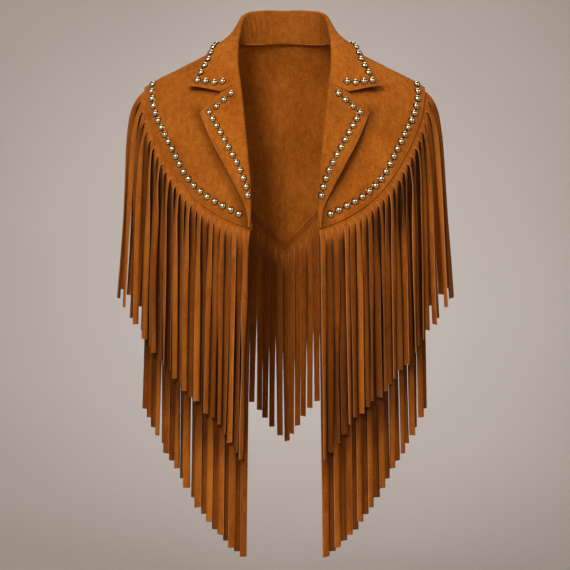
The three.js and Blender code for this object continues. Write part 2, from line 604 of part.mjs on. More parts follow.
function fringe(name, tier, line, walk, side, mirrored = false) {
  const points = [];
  const triangles = [];
  const add = (p) => points.push(p) - 1;
  const start = walk.toPart(tier.from);
  const end = walk.toPart(tier.to);
  const pitch = (end - start) / tier.count;
  const thin = FRINGE_CLOTH;
  const shareAt = (part) => walk.toShare(mirrored ? 2 * Math.min(part, 1 - part) : part);
  const flip = (p, part) => (mirrored && part > 0.5 ? p.setX(-p.x) : p);
  const station = (part) => {
    const at = shareAt(part);
    const { place, away } = hemFrame(line, at);
    const nearness = tipNearness(line, at);
    const lift = tier.lift - TIP_EASE * nearness;
    const edge = (distance, depth) => flip(lifted(moved(place, away, distance), lift - depth), part);
    const inside = -THREE.MathUtils.lerp(tier.backing.full, tier.backing.tip, nearness);
    const shows = BAND_END;
    return [edge(inside, 0), edge(shows, 0), edge(shows, thin), edge(inside, thin)].map(add);
  };
  const path = (part, distance) => {
    const point = strandPath(line, shareAt(part), distance, tier.lift - thin / 2, tier.stand);
    return flip(point, part);
  };
  let before = null;
  for (let i = 0; i < tier.count; i += 1) {
    const middle = start + (i + 0.5) * pitch;
    const a = station(middle - ROOT_SHARE * pitch / 2);
    const b = station(middle + ROOT_SHARE * pitch / 2);
    const joinStations = (p, q, slit) => {
      for (let k = 0; k < 4; k += 1) {
        if (k === 1 && !slit) continue;
        const n = (k + 1) % 4;
        quad(triangles, p[k], p[n], q[n], q[k]);
      }
    };
    if (before) joinStations(before, a, true);
    else quad(triangles, a[3], a[2], a[1], a[0]);
    joinStations(a, b, false);
    before = b;
    const length = tableAt(tier.lengths, middle) + LENGTH_SPREAD * unevenness(i, 1);
    const low = Math.max(start, middle - ROW_SPREAD * pitch);
    const high = Math.min(end, middle + ROW_SPREAD * pitch);
    const rowEnd = path(high, length).sub(path(low, length)).setZ(0).normalize();
    const outside = flip(hemFrame(line, shareAt(middle)).normal, middle);
    let ring = [a[1], a[2], b[2], b[1]];
    for (const distance of [...STRAND_RINGS, length]) {
      const centre = path(middle, distance);
      const direction = path(middle, distance + 1).sub(path(middle, distance - 1)).normalize();
      const rowHere = path(middle + pitch / 4, distance).sub(path(middle - pitch / 4, distance)).normalize();
      const turn = TWIST * unevenness(i, 2) * (distance / length) ** TWIST_GROWTH;
      const row = rowHere.lerp(rowEnd, 1 - Math.exp(-distance / TURN_RUN));
      row.addScaledVector(direction, -row.dot(direction)).normalize();
      row.applyAxisAngle(direction, THREE.MathUtils.degToRad(turn));
      const facing = direction.clone().cross(row).normalize();
      const out = facing.dot(outside) > 0 ? facing : facing.negate();
      const corner = (w, t) => {
        const edge = centre.clone().addScaledVector(row, w * STRAND_WIDTH / 2);
        return add(edge.addScaledVector(out, t * thin / 2));
      };
      const next = [corner(-1, 1), corner(-1, -1), corner(1, -1), corner(1, 1)];
      for (let k = 0; k < 4; k += 1) {
        const n = (k + 1) % 4;
        quad(triangles, ring[k], ring[n], next[n], next[k]);
      }
      ring = next;
    }
    quad(triangles, ring[0], ring[1], ring[2], ring[3]);
  }
  quad(triangles, before[0], before[1], before[2], before[3]);
  return solid(name, points, triangles, fringeSuede, side);
}

// Studs: domes on a thin wire, one closed body for each row. A dome is six-sided in plan.
const STUD_SIDE = STUD_RADIUS * Math.cos(Math.PI / 6);
function studChain(name, centres, side = 1) {
  const points = [];
  const triangles = [];
  const add = (p) => points.push(p) - 1;
  const section = (at, across, normal, half, top, height) => [
    at.clone().addScaledVector(across, -half),
    at.clone().addScaledVector(across, -top).addScaledVector(normal, height),
    at.clone().addScaledVector(across, top).addScaledVector(normal, height),
    at.clone().addScaledVector(across, half)].map(add);
  const rings = [];
  centres.forEach(({ point, normal }, i) => {
    const ahead = centres[Math.min(centres.length - 1, i + 1)].point;
    const behind = centres[Math.max(0, i - 1)].point;
    const along = ahead.clone().sub(behind);
    along.addScaledVector(normal, -along.dot(normal)).normalize();
    const across = along.clone().cross(normal);
    const place = (distance) => point.clone().addScaledVector(along, distance);
    rings.push(
      section(place(-STUD_RADIUS), across, normal, LINK_HALF, LINK_HALF, LINK_HEIGHT),
      section(place(-STUD_RADIUS / 2), across, normal, STUD_SIDE, STUD_RADIUS / 2, STUD_HEIGHT),
      section(place(STUD_RADIUS / 2), across, normal, STUD_SIDE, STUD_RADIUS / 2, STUD_HEIGHT),
      section(place(STUD_RADIUS), across, normal, LINK_HALF, LINK_HALF, LINK_HEIGHT));
  });
  for (let i = 0; i < rings.length - 1; i += 1) {
    for (let k = 0; k < 4; k += 1) {
      const n = (k + 1) % 4;
      quad(triangles, rings[i][k], rings[i][n], rings[i + 1][n], rings[i + 1][k]);
    }
  }
  quad(triangles, ...rings[0].slice().reverse());
  quad(triangles, ...rings[rings.length - 1]);
  return solid(name, points, triangles, studMetal, side);
}

// Even places along a broken line of points, each with its normal
function evenly(samples, count) {
  const run = [0];
  for (let i = 1; i < samples.length; i += 1) {
    run.push(run[i - 1] + samples[i].point.distanceTo(samples[i - 1].point));
  }
  return Array.from({ length: count }, (_, k) => {
    const wanted = share(k, count) * run[run.length - 1];
    let i = 1;
    while (i < run.length - 1 && run[i] < wanted) i += 1;
    const part = (wanted - run[i - 1]) / (run[i] - run[i - 1]);
    return {
      point: samples[i - 1].point.clone().lerp(samples[i].point, part),
      normal: samples[i - 1].normal.clone().lerp(samples[i].normal, part).normalize(),
    };
  });
}

const STUD_SEAT = SEAM_GAP + 0.3;    // the facets of the cloth below need a little more than the gap
const COLLAR_STUD_SEAT = 0.95;       // the fall is more curved than the panels

function onPanel(place) {
  return { point: lifted(place, STUD_SEAT), normal: outward(place) };
}

function hemStuds() {
  const line = new SkinLine(HEM_STUDS.map((p) => seenFromFront(p)));
  return evenly(steps(120).map((part) => onPanel(line.at(part))), FRONT_HEM_STUDS);
}

function backStuds() {
  const samples = steps(120).map((part) => {
    const { place, away } = hemFrame(backHem, THREE.MathUtils.lerp(0.03, 1, part));
    return onPanel(moved(place, away, -BACK_STUD_INSET));
  });
  const beforeCentre = samples.filter(({ point }) => point.x < 0);
  return evenly(beforeCentre, BACK_HEM_STUDS);
}

function onLapel(place) {
  const lift = lapelLift(place) + CLOTH / 2 + STUD_SEAT;
  return { point: lifted(place, lift), normal: outward(place) };
}

function lapelStuds() {
  const [start, corner, ...rest] = LAPEL_STUDS.map((p) => seenFromFront(p));
  const down = new SkinLine([corner, ...rest]);
  const top = evenly(steps(12).map((u) => onLapel(start.clone().lerp(corner, u))), LAPEL_TOP_STUDS);
  const side = evenly(steps(40).map((u) => onLapel(down.at(u))), LAPEL_SIDE_STUDS + 1);
  return [...top, ...side.slice(1)];
}

function onCollar(u, v) {
  const alongFall = fallPoint(u + COLLAR_STEP, v).sub(fallPoint(Math.max(0, u - COLLAR_STEP), v));
  const acrossFall = fallPoint(u, v + COLLAR_STEP).sub(fallPoint(u, v - COLLAR_STEP));
  const normal = alongFall.cross(acrossFall).normalize();
  if (normal.dot(collarFrame(u).out) < 0) normal.negate();
  return { point: fallPoint(u, v).addScaledVector(normal, CLOTH / 2 + COLLAR_STUD_SEAT), normal };
}

function collarStuds() {
  const fallWidth = (u) => fallPoint(u, 1).distanceTo(fallPoint(u, 0));
  const { inner, outer } = COLLAR_STUD_FRONT;
  const frontU = 1 - outer;
  const sideV = (u) => 1 - COLLAR_STUD_INSET / fallWidth(u);
  const front = steps(16).map((part) => onCollar(
    1 - THREE.MathUtils.lerp(inner, outer, part),
    THREE.MathUtils.lerp(COLLAR_STUD_START, sideV(frontU), part)));
  const sideLine = steps(60).map((part) => onCollar(frontU * (1 - part), sideV(frontU * (1 - part))));
  return [...evenly(front, COLLAR_FRONT_STUDS), ...evenly(sideLine, COLLAR_SIDE_STUDS + 1).slice(1)];
}

// A row that ends on the centre line, carried on along the other side
function bothSides(half) {
  const centre = half[half.length - 1];
  centre.point.setX(0);
  centre.normal.setX(0).normalize();
  const mirrorOf = ({ point, normal }) => ({
    point: point.clone().setX(-point.x), normal: normal.clone().setX(-normal.x),
  });
  return [...half, ...half.slice(0, -1).reverse().map(mirrorOf)];
}

const frontWalk = new HemWalk(frontHem);
const backWalk = new HemWalk(backHem);

const model = new THREE.Group();
model.add(frontPanel(1, 'front_left'), frontPanel(-1, 'front_right'), backPanel());
model.add(lapel(1, 'lapel_left'), lapel(-1, 'lapel_right'), collar());
for (const [side, label] of [[1, 'left'], [-1, 'right']]) {
  model.add(fringe(`fringe_upper_${label}`, FRONT_UPPER, frontHem, frontWalk, side));
  model.add(fringe(`fringe_lower_${label}`, FRONT_LOWER, frontHem, frontWalk, side));
  model.add(studChain(`studs_hem_${label}`, hemStuds(), side));
  model.add(studChain(`studs_lapel_${label}`, lapelStuds(), side));
}
model.add(fringe('fringe_back', BACK_TIER, backHem, backWalk, 1, true));
model.add(studChain('studs_back', bothSides(backStuds())));
model.add(studChain('studs_collar', bothSides(collarStuds())));

export default model;
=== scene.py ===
"""A suede fringe cape, filled out as if worn and hanging free.

The cape's lengths are millimetres, and its meshes are made in metres. The camera, the room
and the shaders measure in metres. The front faces -Y and +Z is up. Lines of the cut are given
for one side, the picture's left, where x is below zero.
"""
import math
from functools import partialmethod

import bpy
import numpy as np
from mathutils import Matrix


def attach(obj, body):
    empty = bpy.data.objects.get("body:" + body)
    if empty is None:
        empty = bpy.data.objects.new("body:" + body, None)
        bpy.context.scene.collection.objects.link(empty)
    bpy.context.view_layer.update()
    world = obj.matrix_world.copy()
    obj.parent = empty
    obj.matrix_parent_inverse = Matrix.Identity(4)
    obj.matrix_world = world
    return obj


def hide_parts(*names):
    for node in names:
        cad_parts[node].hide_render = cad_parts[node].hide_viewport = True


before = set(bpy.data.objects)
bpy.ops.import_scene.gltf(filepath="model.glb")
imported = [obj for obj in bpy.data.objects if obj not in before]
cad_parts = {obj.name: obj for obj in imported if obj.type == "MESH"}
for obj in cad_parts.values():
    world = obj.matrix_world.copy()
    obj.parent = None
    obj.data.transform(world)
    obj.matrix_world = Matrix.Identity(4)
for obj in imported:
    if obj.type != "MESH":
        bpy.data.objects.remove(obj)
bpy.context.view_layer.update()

# The camera stands level with the upper fringe, straight in front, where the photograph was
# taken from: it takes in 932 mm at the shoulders' distance.
CAMERA_DISTANCE = 2.6
CAMERA_HEIGHT = -0.358
CAMERA_ASIDE = 0.0005
SEEN_WIDTH = 0.932
SENSOR = 36

camera = bpy.data.objects.new("camera", bpy.data.cameras.new("camera"))
bpy.context.scene.collection.objects.link(camera)
camera.location = (CAMERA_ASIDE, -CAMERA_DISTANCE, CAMERA_HEIGHT)
camera.rotation_euler = (math.radians(90), 0, 0)
camera.data.sensor_width = SENSOR
camera.data.lens = SENSOR * CAMERA_DISTANCE / SEEN_WIDTH
bpy.context.scene.camera = camera


# Shader maths: a Signal is a socket that takes part in Python sums, and a Finish is one
# material, whose node method adds any other node.
class Signal:
    def __init__(self, finish, socket):
        self.finish = finish
        self.socket = socket

    def sum(self, operation, other=None, turned=False):
        values = {0: other, 1: self} if turned else {0: self, 1: other}
        return self.finish.node("ShaderNodeMath", {"operation": operation}, values).out(0)

    __add__ = partialmethod(sum, "ADD")
    __radd__ = partialmethod(sum, "ADD", turned=True)
    __sub__ = partialmethod(sum, "SUBTRACT")
    __rsub__ = partialmethod(sum, "SUBTRACT", turned=True)
    __mul__ = partialmethod(sum, "MULTIPLY")
    __rmul__ = partialmethod(sum, "MULTIPLY", turned=True)
    __abs__ = partialmethod(sum, "ABSOLUTE")

    def rise(self, low, high):
        """0 below low, 1 above high, with a soft step between; low may be the larger"""
        settings = {"interpolation_type": "SMOOTHSTEP"}
        values = {"Value": self, "From Min": low, "From Max": high}
        return self.finish.node("ShaderNodeMapRange", settings, values).out("Result")


class Made:
    def __init__(self, finish, node):
        self.finish = finish
        self.node = node

    def out(self, key):
        return Signal(self.finish, pick(self.node.outputs, key))


def pick(sockets, key):
    """A socket by its place, its identifier or its name"""
    if isinstance(key, int):
        return sockets[key]
    for socket in sockets:
        if socket.identifier == key:
            return socket
    return sockets[key]


class Tree:
    def node(self, kind, settings=None, values=None):
        made = self.tree.nodes.new(kind)
        for name, setting in (settings or {}).items():
            if name == "stops":
                self.set_stops(made.color_ramp, setting)
            else:
                setattr(made, name, setting)
        for key, value in (values or {}).items():
            if value is None:
                continue
            socket = pick(made.inputs, key)
            if isinstance(value, Signal):
                self.tree.links.new(value.socket, socket)
            else:
                socket.default_value = value
        return Made(self, made)

    @staticmethod
    def set_stops(ramp, stops):
        while len(ramp.elements) < len(stops):
            ramp.elements.new(0.5)
        for element, (position, colour) in zip(ramp.elements, stops):
            element.position = position
            element.color = (*colour, 1)


class Finish(Tree):
    def __init__(self, name):
        self.material = bpy.data.materials.new(name)
        self.material.use_nodes = True
        self.tree = self.material.node_tree
        self.tree.nodes.clear()

    def mix(self, share, first, second):
        """Colours mixed: first where share is 0, second where it is 1"""
        values = {"Factor_Float": share, "A_Color": first, "B_Color": second}
        return self.node("ShaderNodeMix", {"data_type": "RGBA"}, values).out("Result_Color")

    def noise(self, where, size, detail=2.0, stretch=(1, 1, 1)):
        """Soft noise from 0 to 1 whose blotches are size metres across"""
        scale = tuple(part / size for part in stretch)
        spread = self.node("ShaderNodeMapping", None, {"Vector": where, "Scale": scale}).out("Vector")
        values = {"Vector": spread, "Scale": 1.0, "Detail": detail}
        return self.node("ShaderNodeTexNoise", None, values).out(0)

    def where(self):
        """Where on its piece a point lies, in metres"""
        return self.node("ShaderNodeTexCoord").out("Object")

    def attribute(self, name):
        return self.node("ShaderNodeAttribute", {"attribute_name": name}).out("Fac")

    def bump(self, height, depth, under=None):
        values = {"Height": height, "Distance": depth, "Strength": 1.0, "Normal": under}
        return self.node("ShaderNodeBump", None, values).out("Normal")

    def surface(self, **values):
        named = {key.replace("_", " "): value for key, value in values.items()}
        shader = self.node("ShaderNodeBsdfPrincipled", None, named).out("BSDF")
        self.node("ShaderNodeOutputMaterial", None, {"Surface": shader})
        return self.material


# The floor is a plain pale sweep that turns up into a backdrop all round, well below the hem where
# a stand or a wearer's feet would be. It carries a painted glow of light, brightest behind the cape.
FLOOR_HEIGHT = -1.42
SWEEP_START = 0.02
SWEEP_RADIUS = 5.2
SWEEP_TURN = 1.8
SWEEP_TOP = 4.2
SWEEP_SIDES = 96
SWEEP_STEPS = 14
# Where the painted glow of light on the backdrop is brightest, and how it fades
GLOW_MIDDLE = (0.06, SWEEP_RADIUS, CAMERA_HEIGHT - 0.15)
GLOW_FADE = (0.45, 2.5)
PAPER_BRIGHT = (0.8, 0.74, 0.712, 1)
PAPER_DIM = (0.51, 0.45, 0.41, 1)
PAPER_CLOUD = 0.12


def to_mesh(name, points, faces=(), links=()):
    """A smooth mesh object from points in metres"""
    mesh = bpy.data.meshes.new(name)
    mesh.from_pydata([tuple(p) for p in points], links, [tuple(f) for f in faces])
    mesh.polygons.foreach_set("use_smooth", [True] * len(mesh.polygons))
    mesh.update()
    made = bpy.data.objects.new(name, mesh)
    bpy.context.scene.collection.objects.link(made)
    return made


def make_sweep():
    turn = np.linspace(0, math.pi / 2, SWEEP_STEPS)
    out = SWEEP_RADIUS - SWEEP_TURN + SWEEP_TURN * np.sin(turn)
    up = FLOOR_HEIGHT + SWEEP_TURN * (1 - np.cos(turn))
    bend = np.stack([out, up], axis=1)
    profile = np.vstack([[SWEEP_START, FLOOR_HEIGHT], bend, [SWEEP_RADIUS, SWEEP_TOP]])
    angles = np.arange(SWEEP_SIDES) * 2 * math.pi / SWEEP_SIDES
    rings = np.stack([np.outer(profile[:, 0], np.cos(angles)),
                      np.outer(profile[:, 0], np.sin(angles)),
                      np.repeat(profile[:, 1:], SWEEP_SIDES, axis=1)], axis=-1)
    faces = []
    for i in range(len(profile) - 1):
        for j in range(SWEEP_SIDES):
            k = (j + 1) % SWEEP_SIDES
            corners = (i, j), (i + 1, j), (i + 1, k), (i, k)
            faces.append([a * SWEEP_SIDES + b for a, b in corners])
    faces.append(list(range(SWEEP_SIDES)))
    return to_mesh("floor_sweep", rings.reshape(-1, 3), faces)


def floor_finish():
    """Pale warm paper with a painted glow of light behind the cape, a little darker away from it"""
    paper = Finish("pale_floor")
    where = paper.where()
    settings = {"operation": "DISTANCE"}
    away = paper.node("ShaderNodeVectorMath", settings, {0: where, 1: GLOW_MIDDLE}).out("Value")
    shade = away.rise(*GLOW_FADE) + paper.noise(where, 1.2).rise(0.3, 0.7) * PAPER_CLOUD
    colour = paper.mix(shade, PAPER_BRIGHT, PAPER_DIM)
    return paper.surface(Base_Color=colour, Roughness=0.95, Specular_IOR_Level=0.1)


floor_sweep = make_sweep()
floor_sweep.data.materials.append(floor_finish())


# The form that the suede lies on, a general figure's shoulders. A place on it is x and w:
# w runs down from the shoulder ridge, below zero on the front and above zero on the back.
NECK_TOP = 75            # height of the ridge line at the neck
SHOULDER_SLOPE = 0.5     # fall of the ridge line for each millimetre outward
NECK_ROUND = 15
DROOP_START = 205        # where the shoulder end starts to round off
DROOP_RUN = 40
DROOP_DEPTH = 8
HALF_WIDTH = 245         # half width that the rounded chest and back close to
SIDE_POWER = 2.3         # how square they are in plan
CHEST_DEPTH = 115
CHEST_EASE = 100         # how slowly the chest comes forward going down
BACK_DEPTH = 105
BACK_EASE = 45
RIDGE_ROUND = 20
INWARD_LEAN = -0.2       # a normal that leans in by more than this points into the form
LEAST_LEFT = 0.02        # least share of the depth that is left at a place seen from above
SLOPE_STEP = 0.05
LINE_STEP = 0.004


def unit(vectors):
    return vectors / np.maximum(np.linalg.norm(vectors, axis=-1, keepdims=True), 1e-12)


def dot(a, b):
    return np.sum(a * b, axis=-1, keepdims=True)


def soft_step(value, low, high):
    part = np.clip((value - low) / (high - low), 0, 1)
    return part * part * (3 - 2 * part)


def walked(points):
    """How far along a broken line each of its points lies"""
    return np.concatenate([[0], np.cumsum(np.linalg.norm(np.diff(points, axis=0), axis=1))])


def ridge(x):
    past = np.maximum(0, np.abs(x) - DROOP_START) / DROOP_RUN
    fall = SHOULDER_SLOPE * (np.hypot(x, NECK_ROUND) - NECK_ROUND)
    return NECK_TOP - fall - DROOP_DEPTH * past * past


def depth_and_ease(x, w):
    share = np.minimum(1, np.abs(x) / HALF_WIDTH)
    plump = np.maximum(1e-4, 1 - share ** SIDE_POWER) ** (1 / SIDE_POWER)
    front = w < 0
    depth = np.where(front, -CHEST_DEPTH, BACK_DEPTH) * plump
    return depth, np.where(front, CHEST_EASE, BACK_EASE)


def on_form(place):
    x, w = place[..., 0], place[..., 1]
    depth, ease = depth_and_ease(x, w)
    down = np.hypot(w, RIDGE_ROUND) - RIDGE_ROUND
    return np.stack([x, depth * (1 - np.exp(-np.abs(w) / ease)), ridge(x) - down], axis=-1)


def from_front(seen, side=-1):
    """The place on the form that is seen at x, z from the front, or from behind with side 1"""
    x, z = np.moveaxis(np.asarray(seen, float), -1, 0)
    down = np.maximum(0, ridge(x) - z)
    return np.stack([x, side * np.sqrt(down * (down + 2 * RIDGE_ROUND))], axis=-1)


def from_above(seen):
    """The place on the form that is seen at x, y from above"""
    x, y = np.moveaxis(np.asarray(seen, float), -1, 0)
    depth, ease = depth_and_ease(x, y)
    left = np.maximum(LEAST_LEFT, 1 - y / depth)
    return np.stack([x, -np.sign(y) * ease * np.log(left)], axis=-1)


def slopes(place):
    along_x = on_form(place + [SLOPE_STEP, 0]) - on_form(place - [SLOPE_STEP, 0])
    along_w = on_form(place + [0, SLOPE_STEP]) - on_form(place - [0, SLOPE_STEP])
    return along_x / (2 * SLOPE_STEP), along_w / (2 * SLOPE_STEP)


def outward(place):
    normal = unit(np.cross(*slopes(place)))
    inward = (normal[..., 2] < 0) | (normal[..., 1] * np.sign(place[..., 1]) < INWARD_LEAN)
    return np.where(inward[..., None], -normal, normal)


def lifted(place, lift):
    return on_form(place) + outward(place) * np.asarray(lift)[..., None]


def moved(place, direction, distance):
    """A place moved by a distance in a direction that lies in the cloth"""
    along_x, along_w = slopes(place)
    step = direction * np.asarray(distance)[..., None]
    xx, ww, xw = dot(along_x, along_x), dot(along_w, along_w), dot(along_x, along_w)
    bx, bw = dot(along_x, step), dot(along_w, step)
    size = xx * ww - xw * xw
    return place + np.concatenate([bx * ww - bw * xw, bw * xx - bx * xw], axis=-1) / size


def smooth_curve(points, shares):
    """A centripetal Catmull-Rom curve through the points, at shares from 0 to 1"""
    points = np.asarray(points, float)
    padded = np.vstack([2 * points[0] - points[1], points, 2 * points[-1] - points[-2]])
    knots = np.linalg.norm(np.diff(padded, axis=0), axis=1) ** 0.5
    last = len(points) - 2
    span = np.minimum((np.asarray(shares) * (last + 1)).astype(int), last)
    t = (np.asarray(shares) * (last + 1) - span)[:, None]
    p0, p1, p2, p3 = (padded[span + k] for k in range(4))
    d0, d1, d2 = (knots[span + k][:, None] for k in range(3))
    start = ((p1 - p0) / d0 - (p2 - p0) / (d0 + d1) + (p2 - p1) / d1) * d1
    end = ((p2 - p1) / d1 - (p3 - p1) / (d1 + d2) + (p3 - p2) / d2) * d1
    square = -3 * p1 + 3 * p2 - 2 * start - end
    cube = 2 * p1 - 2 * p2 + start + end
    return p1 + start * t + square * t * t + cube * t ** 3


class Line:
    """A smooth line on the form through a few places, walked by its real length"""
    def __init__(self, places, samples=400):
        self.places = smooth_curve(places, np.linspace(0, 1, samples + 1))
        self.run = walked(on_form(self.places))
        self.length = self.run[-1]

    def at(self, share):
        wanted = np.clip(share, 0, 1) * self.length
        return np.stack([np.interp(wanted, self.run, self.places[:, k]) for k in (0, 1)], axis=-1)

    def frame(self, share):
        """The place, the tangent, the outward normal, and the way off the line in the cloth"""
        share = np.asarray(share, float)
        place = self.at(share)
        tangent = unit(on_form(self.at(share + LINE_STEP)) - on_form(self.at(share - LINE_STEP)))
        normal = outward(place)
        return place, tangent, normal, unit(np.cross(tangent, normal))


# Suede pieces are closed walls about 2 mm thick, made round a grid of points in their middle
# and brushed to a fine nap. Their cut edges are rounded a little, paler and dry.
MM = 0.001
SUEDE = 1.8
RIM = 0.5                  # how far a cut edge is rounded
YOKE_DARK = (0.285, 0.064, 0.004)
YOKE_MIDDLE = (0.43, 0.115, 0.009)
YOKE_LIGHT = (0.575, 0.182, 0.02)
CUT_EDGE = (0.52, 0.2, 0.05)
# The colour that painted shade darkens the suede toward
SHADED = (0.05, 0.011, 0.0012)
INNER_PAINTED_SHADE = 0.14        # how much painted shade darkens the inner face of each piece
STITCH_INSET = 3.4
SEWN_GROOVE = (0.2, 1.3)   # where the groove round a stitched line starts and ends
MOTTLE = {"size": 0.007, "depth": 0.0008}
NAP = {"size": 0.0016, "depth": 0.0005}
PORES = {"size": 0.0034, "depth": 0.0004}


def hill(distance, width):
    """1 where there is no distance, falling off softly over a width"""
    return np.exp(-(distance / width) ** 2)


def set_attribute(made, name, values, kind="FLOAT"):
    layer = made.data.attributes.new(name, kind, "POINT")
    key = "value" if kind == "FLOAT" else "vector"
    layer.data.foreach_set(key, np.asarray(values, np.float32).ravel())


def away_from(points, line_points):
    """Distance of each point from a line given by close points"""
    nearest = np.full(points.shape[:-1], 1e6)
    for place in line_points:
        nearest = np.minimum(nearest, np.sum((points - place) ** 2, axis=-1))
    return np.sqrt(nearest)


def border_of(rows, columns):
    """The border of a grid as its row and column numbers, once round"""
    top = [(0, j) for j in range(columns - 1)]
    right = [(i, columns - 1) for i in range(rows - 1)]
    bottom = [(rows - 1, j) for j in range(columns - 1, 0, -1)]
    left = [(i, 0) for i in range(rows - 1, 0, -1)]
    return np.array(top + right + bottom + left).T


def closed_mesh(name, points, faces):
    """A closed smooth mesh from points in millimetres, with its faces turned outward"""
    volume = 0
    for face in faces:
        corners = points[face]
        for k in range(1, face.shape[1] - 1):
            a, b, c = corners[:, 0], corners[:, k], corners[:, k + 1]
            volume += np.sum(a * np.cross(b, c))
    turned = [face if volume > 0 else face[:, ::-1] for face in faces]
    return to_mesh(name, points * MM, [row for face in turned for row in face.tolist()])


def suede_piece(name, middle):
    """A closed wall of suede round a grid of points. Each point carries its distance from the
    cut edge, in millimetres, and its painted shade, which darkens the inner face."""
    rows, columns = middle.shape[:2]
    down, across = np.gradient(middle, axis=0), np.gradient(middle, axis=1)
    normal = unit(np.cross(down, across))
    i, j = border_of(rows, columns)
    inward = unit(middle[np.clip(i, 1, rows - 2), np.clip(j, 1, columns - 2)] - middle[i, j]) * RIM
    face, back = middle + normal * SUEDE / 2, middle - normal * SUEDE / 2
    face[i, j] += inward
    back[i, j] += inward
    half = SUEDE / 2 - RIM
    rim_face, rim_back = middle[i, j] + normal[i, j] * half, middle[i, j] - normal[i, j] * half
    count, size = rows * columns, len(i)
    cells = np.arange(count).reshape(rows, columns)
    corners = cells[:-1, :-1], cells[1:, :-1], cells[1:, 1:], cells[:-1, 1:]
    quads = np.stack(corners, axis=-1).reshape(-1, 4)
    edge = cells[i, j]
    loops = [edge, 2 * count + np.arange(size), 2 * count + size + np.arange(size), count + edge]
    strips = [np.stack([a, np.roll(a, -1), np.roll(b, -1), b], axis=-1)
              for a, b in zip(loops, loops[1:])]
    points = np.vstack([face.reshape(-1, 3), back.reshape(-1, 3), rim_face, rim_back])
    made = closed_mesh(name, points, [np.vstack([quads, quads[:, ::-1] + count, *strips])])
    from_edge = away_from(middle.reshape(-1, 3), middle[i, j])
    set_attribute(made, "edge", np.concatenate([from_edge, from_edge, np.zeros(2 * size)]))
    # Painted shade on the inner face of the piece
    shade = np.zeros(2 * count + 2 * size)
    shade[count:2 * count] = INNER_PAINTED_SHADE
    set_attribute(made, "shade", shade)
    made.data.materials.append(yoke_suede)
    return made


def suede_finish(name, dark, middle, light, cut, worn, sewn, patch=0.05, grain=(1, 1, 0.6)):
    """Napped suede: brushed patches, a mottled nap, a sewn groove, paler dry cut edges and painted shade
    """
    hide = Finish(name)
    where = hide.where()
    brushed = hide.noise(where, patch, 3.0, grain)
    mottled = hide.noise(where, MOTTLE["size"], 4.0, grain)
    fine = hide.noise(where, NAP["size"], 3.0, (0.5, 0.5, 1.5))
    pores = hide.noise(where, PORES["size"], 2.0)
    edge = hide.attribute("edge")
    tone = brushed * 0.3 + mottled * 0.28 + fine * 0.42 + hide.attribute("tone") * 0.07
    stops = [(0.36, dark), (0.5, middle), (0.64, light)]
    colour = hide.node("ShaderNodeValToRGB", {"stops": stops}, {"Fac": tone}).out("Color")
    colour = hide.mix(edge.rise(1.2, 0.2) * (worn + 0.3 * fine), colour, (*cut, 1))
    # Painted shade: the piece's shade attribute darkens the colour toward SHADED
    colour = hide.mix(hide.attribute("shade"), colour, (*SHADED, 1))
    bumped = hide.bump(abs(edge - STITCH_INSET).rise(*SEWN_GROOVE), sewn)
    for height, relief in ((pores, PORES), (mottled, MOTTLE), (fine, NAP)):
        bumped = hide.bump(height, relief["depth"], bumped)
    return hide.surface(
        Base_Color=colour, Roughness=0.98 - 0.16 * mottled, Normal=bumped, Sheen_Weight=0.1,
        Sheen_Roughness=0.4, Sheen_Tint=(1.0, 0.5, 0.18, 1), Specular_IOR_Level=0.08)


def paint_shade_near(made, line_points, strength, reach):
    """Paints shade on a piece along a line: a painted shadow of what stands over it there"""
    place = np.empty(3 * len(made.data.vertices), np.float32)
    made.data.vertices.foreach_get("co", place)
    away = away_from(place.reshape(-1, 3) / MM, line_points)
    layer = made.data.attributes["shade"]
    shade = np.empty(len(away), np.float32)
    layer.data.foreach_get("value", shade)
    shade = np.maximum(shade, strength * hill(away, reach))
    layer.data.foreach_set("value", shade.astype(np.float32))


yoke_suede = suede_finish("yoke_suede", YOKE_DARK, YOKE_MIDDLE, YOKE_LIGHT, CUT_EDGE, 0.2, 0.0003)


def dress(made, slot, *nodes):
    """Gives a piece its body and hides the CAD nodes that it stands for. The slot is not used."""
    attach(made, "root")
    if nodes:
        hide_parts(*nodes)
    return made


# Studs: polished pale metal domes, each on a thin rim and pushed through the suede. A thin wire
# joins a row into one chain. They stand on a row of points that carry a normal.
STUD_SIZES = {"Radius": 5.7, "Height": 5.1, "Rim": 6.1, "Rim Height": 0.35, "Wire": 0.85}
STUD_SIDES = 24
STUD_UNDER = 0.1       # how deep the ball goes on below its rim, as a share of its height
RIM_TOP = 0.9          # width of the rim's top, as a share of the dome's
RIM_DEPTH = 1.5        # depth of the rim, as a share of how high it seats the dome
WIRE_SIDES = 10
STUD_TILT = 0.05       # how unevenly they were pressed in
STUD_SEED = 4
STUD_SEAT = 0.1        # height over the suede's face
NICKEL_PALE = (0.86, 0.71, 0.44, 1)
NICKEL_TARNISHED = (0.64, 0.49, 0.27, 1)
# painted dark reflection and shade round the foot of a dome
NICKEL_FOOT_REFLECTION = (0.1, 0.06, 0.03, 1)


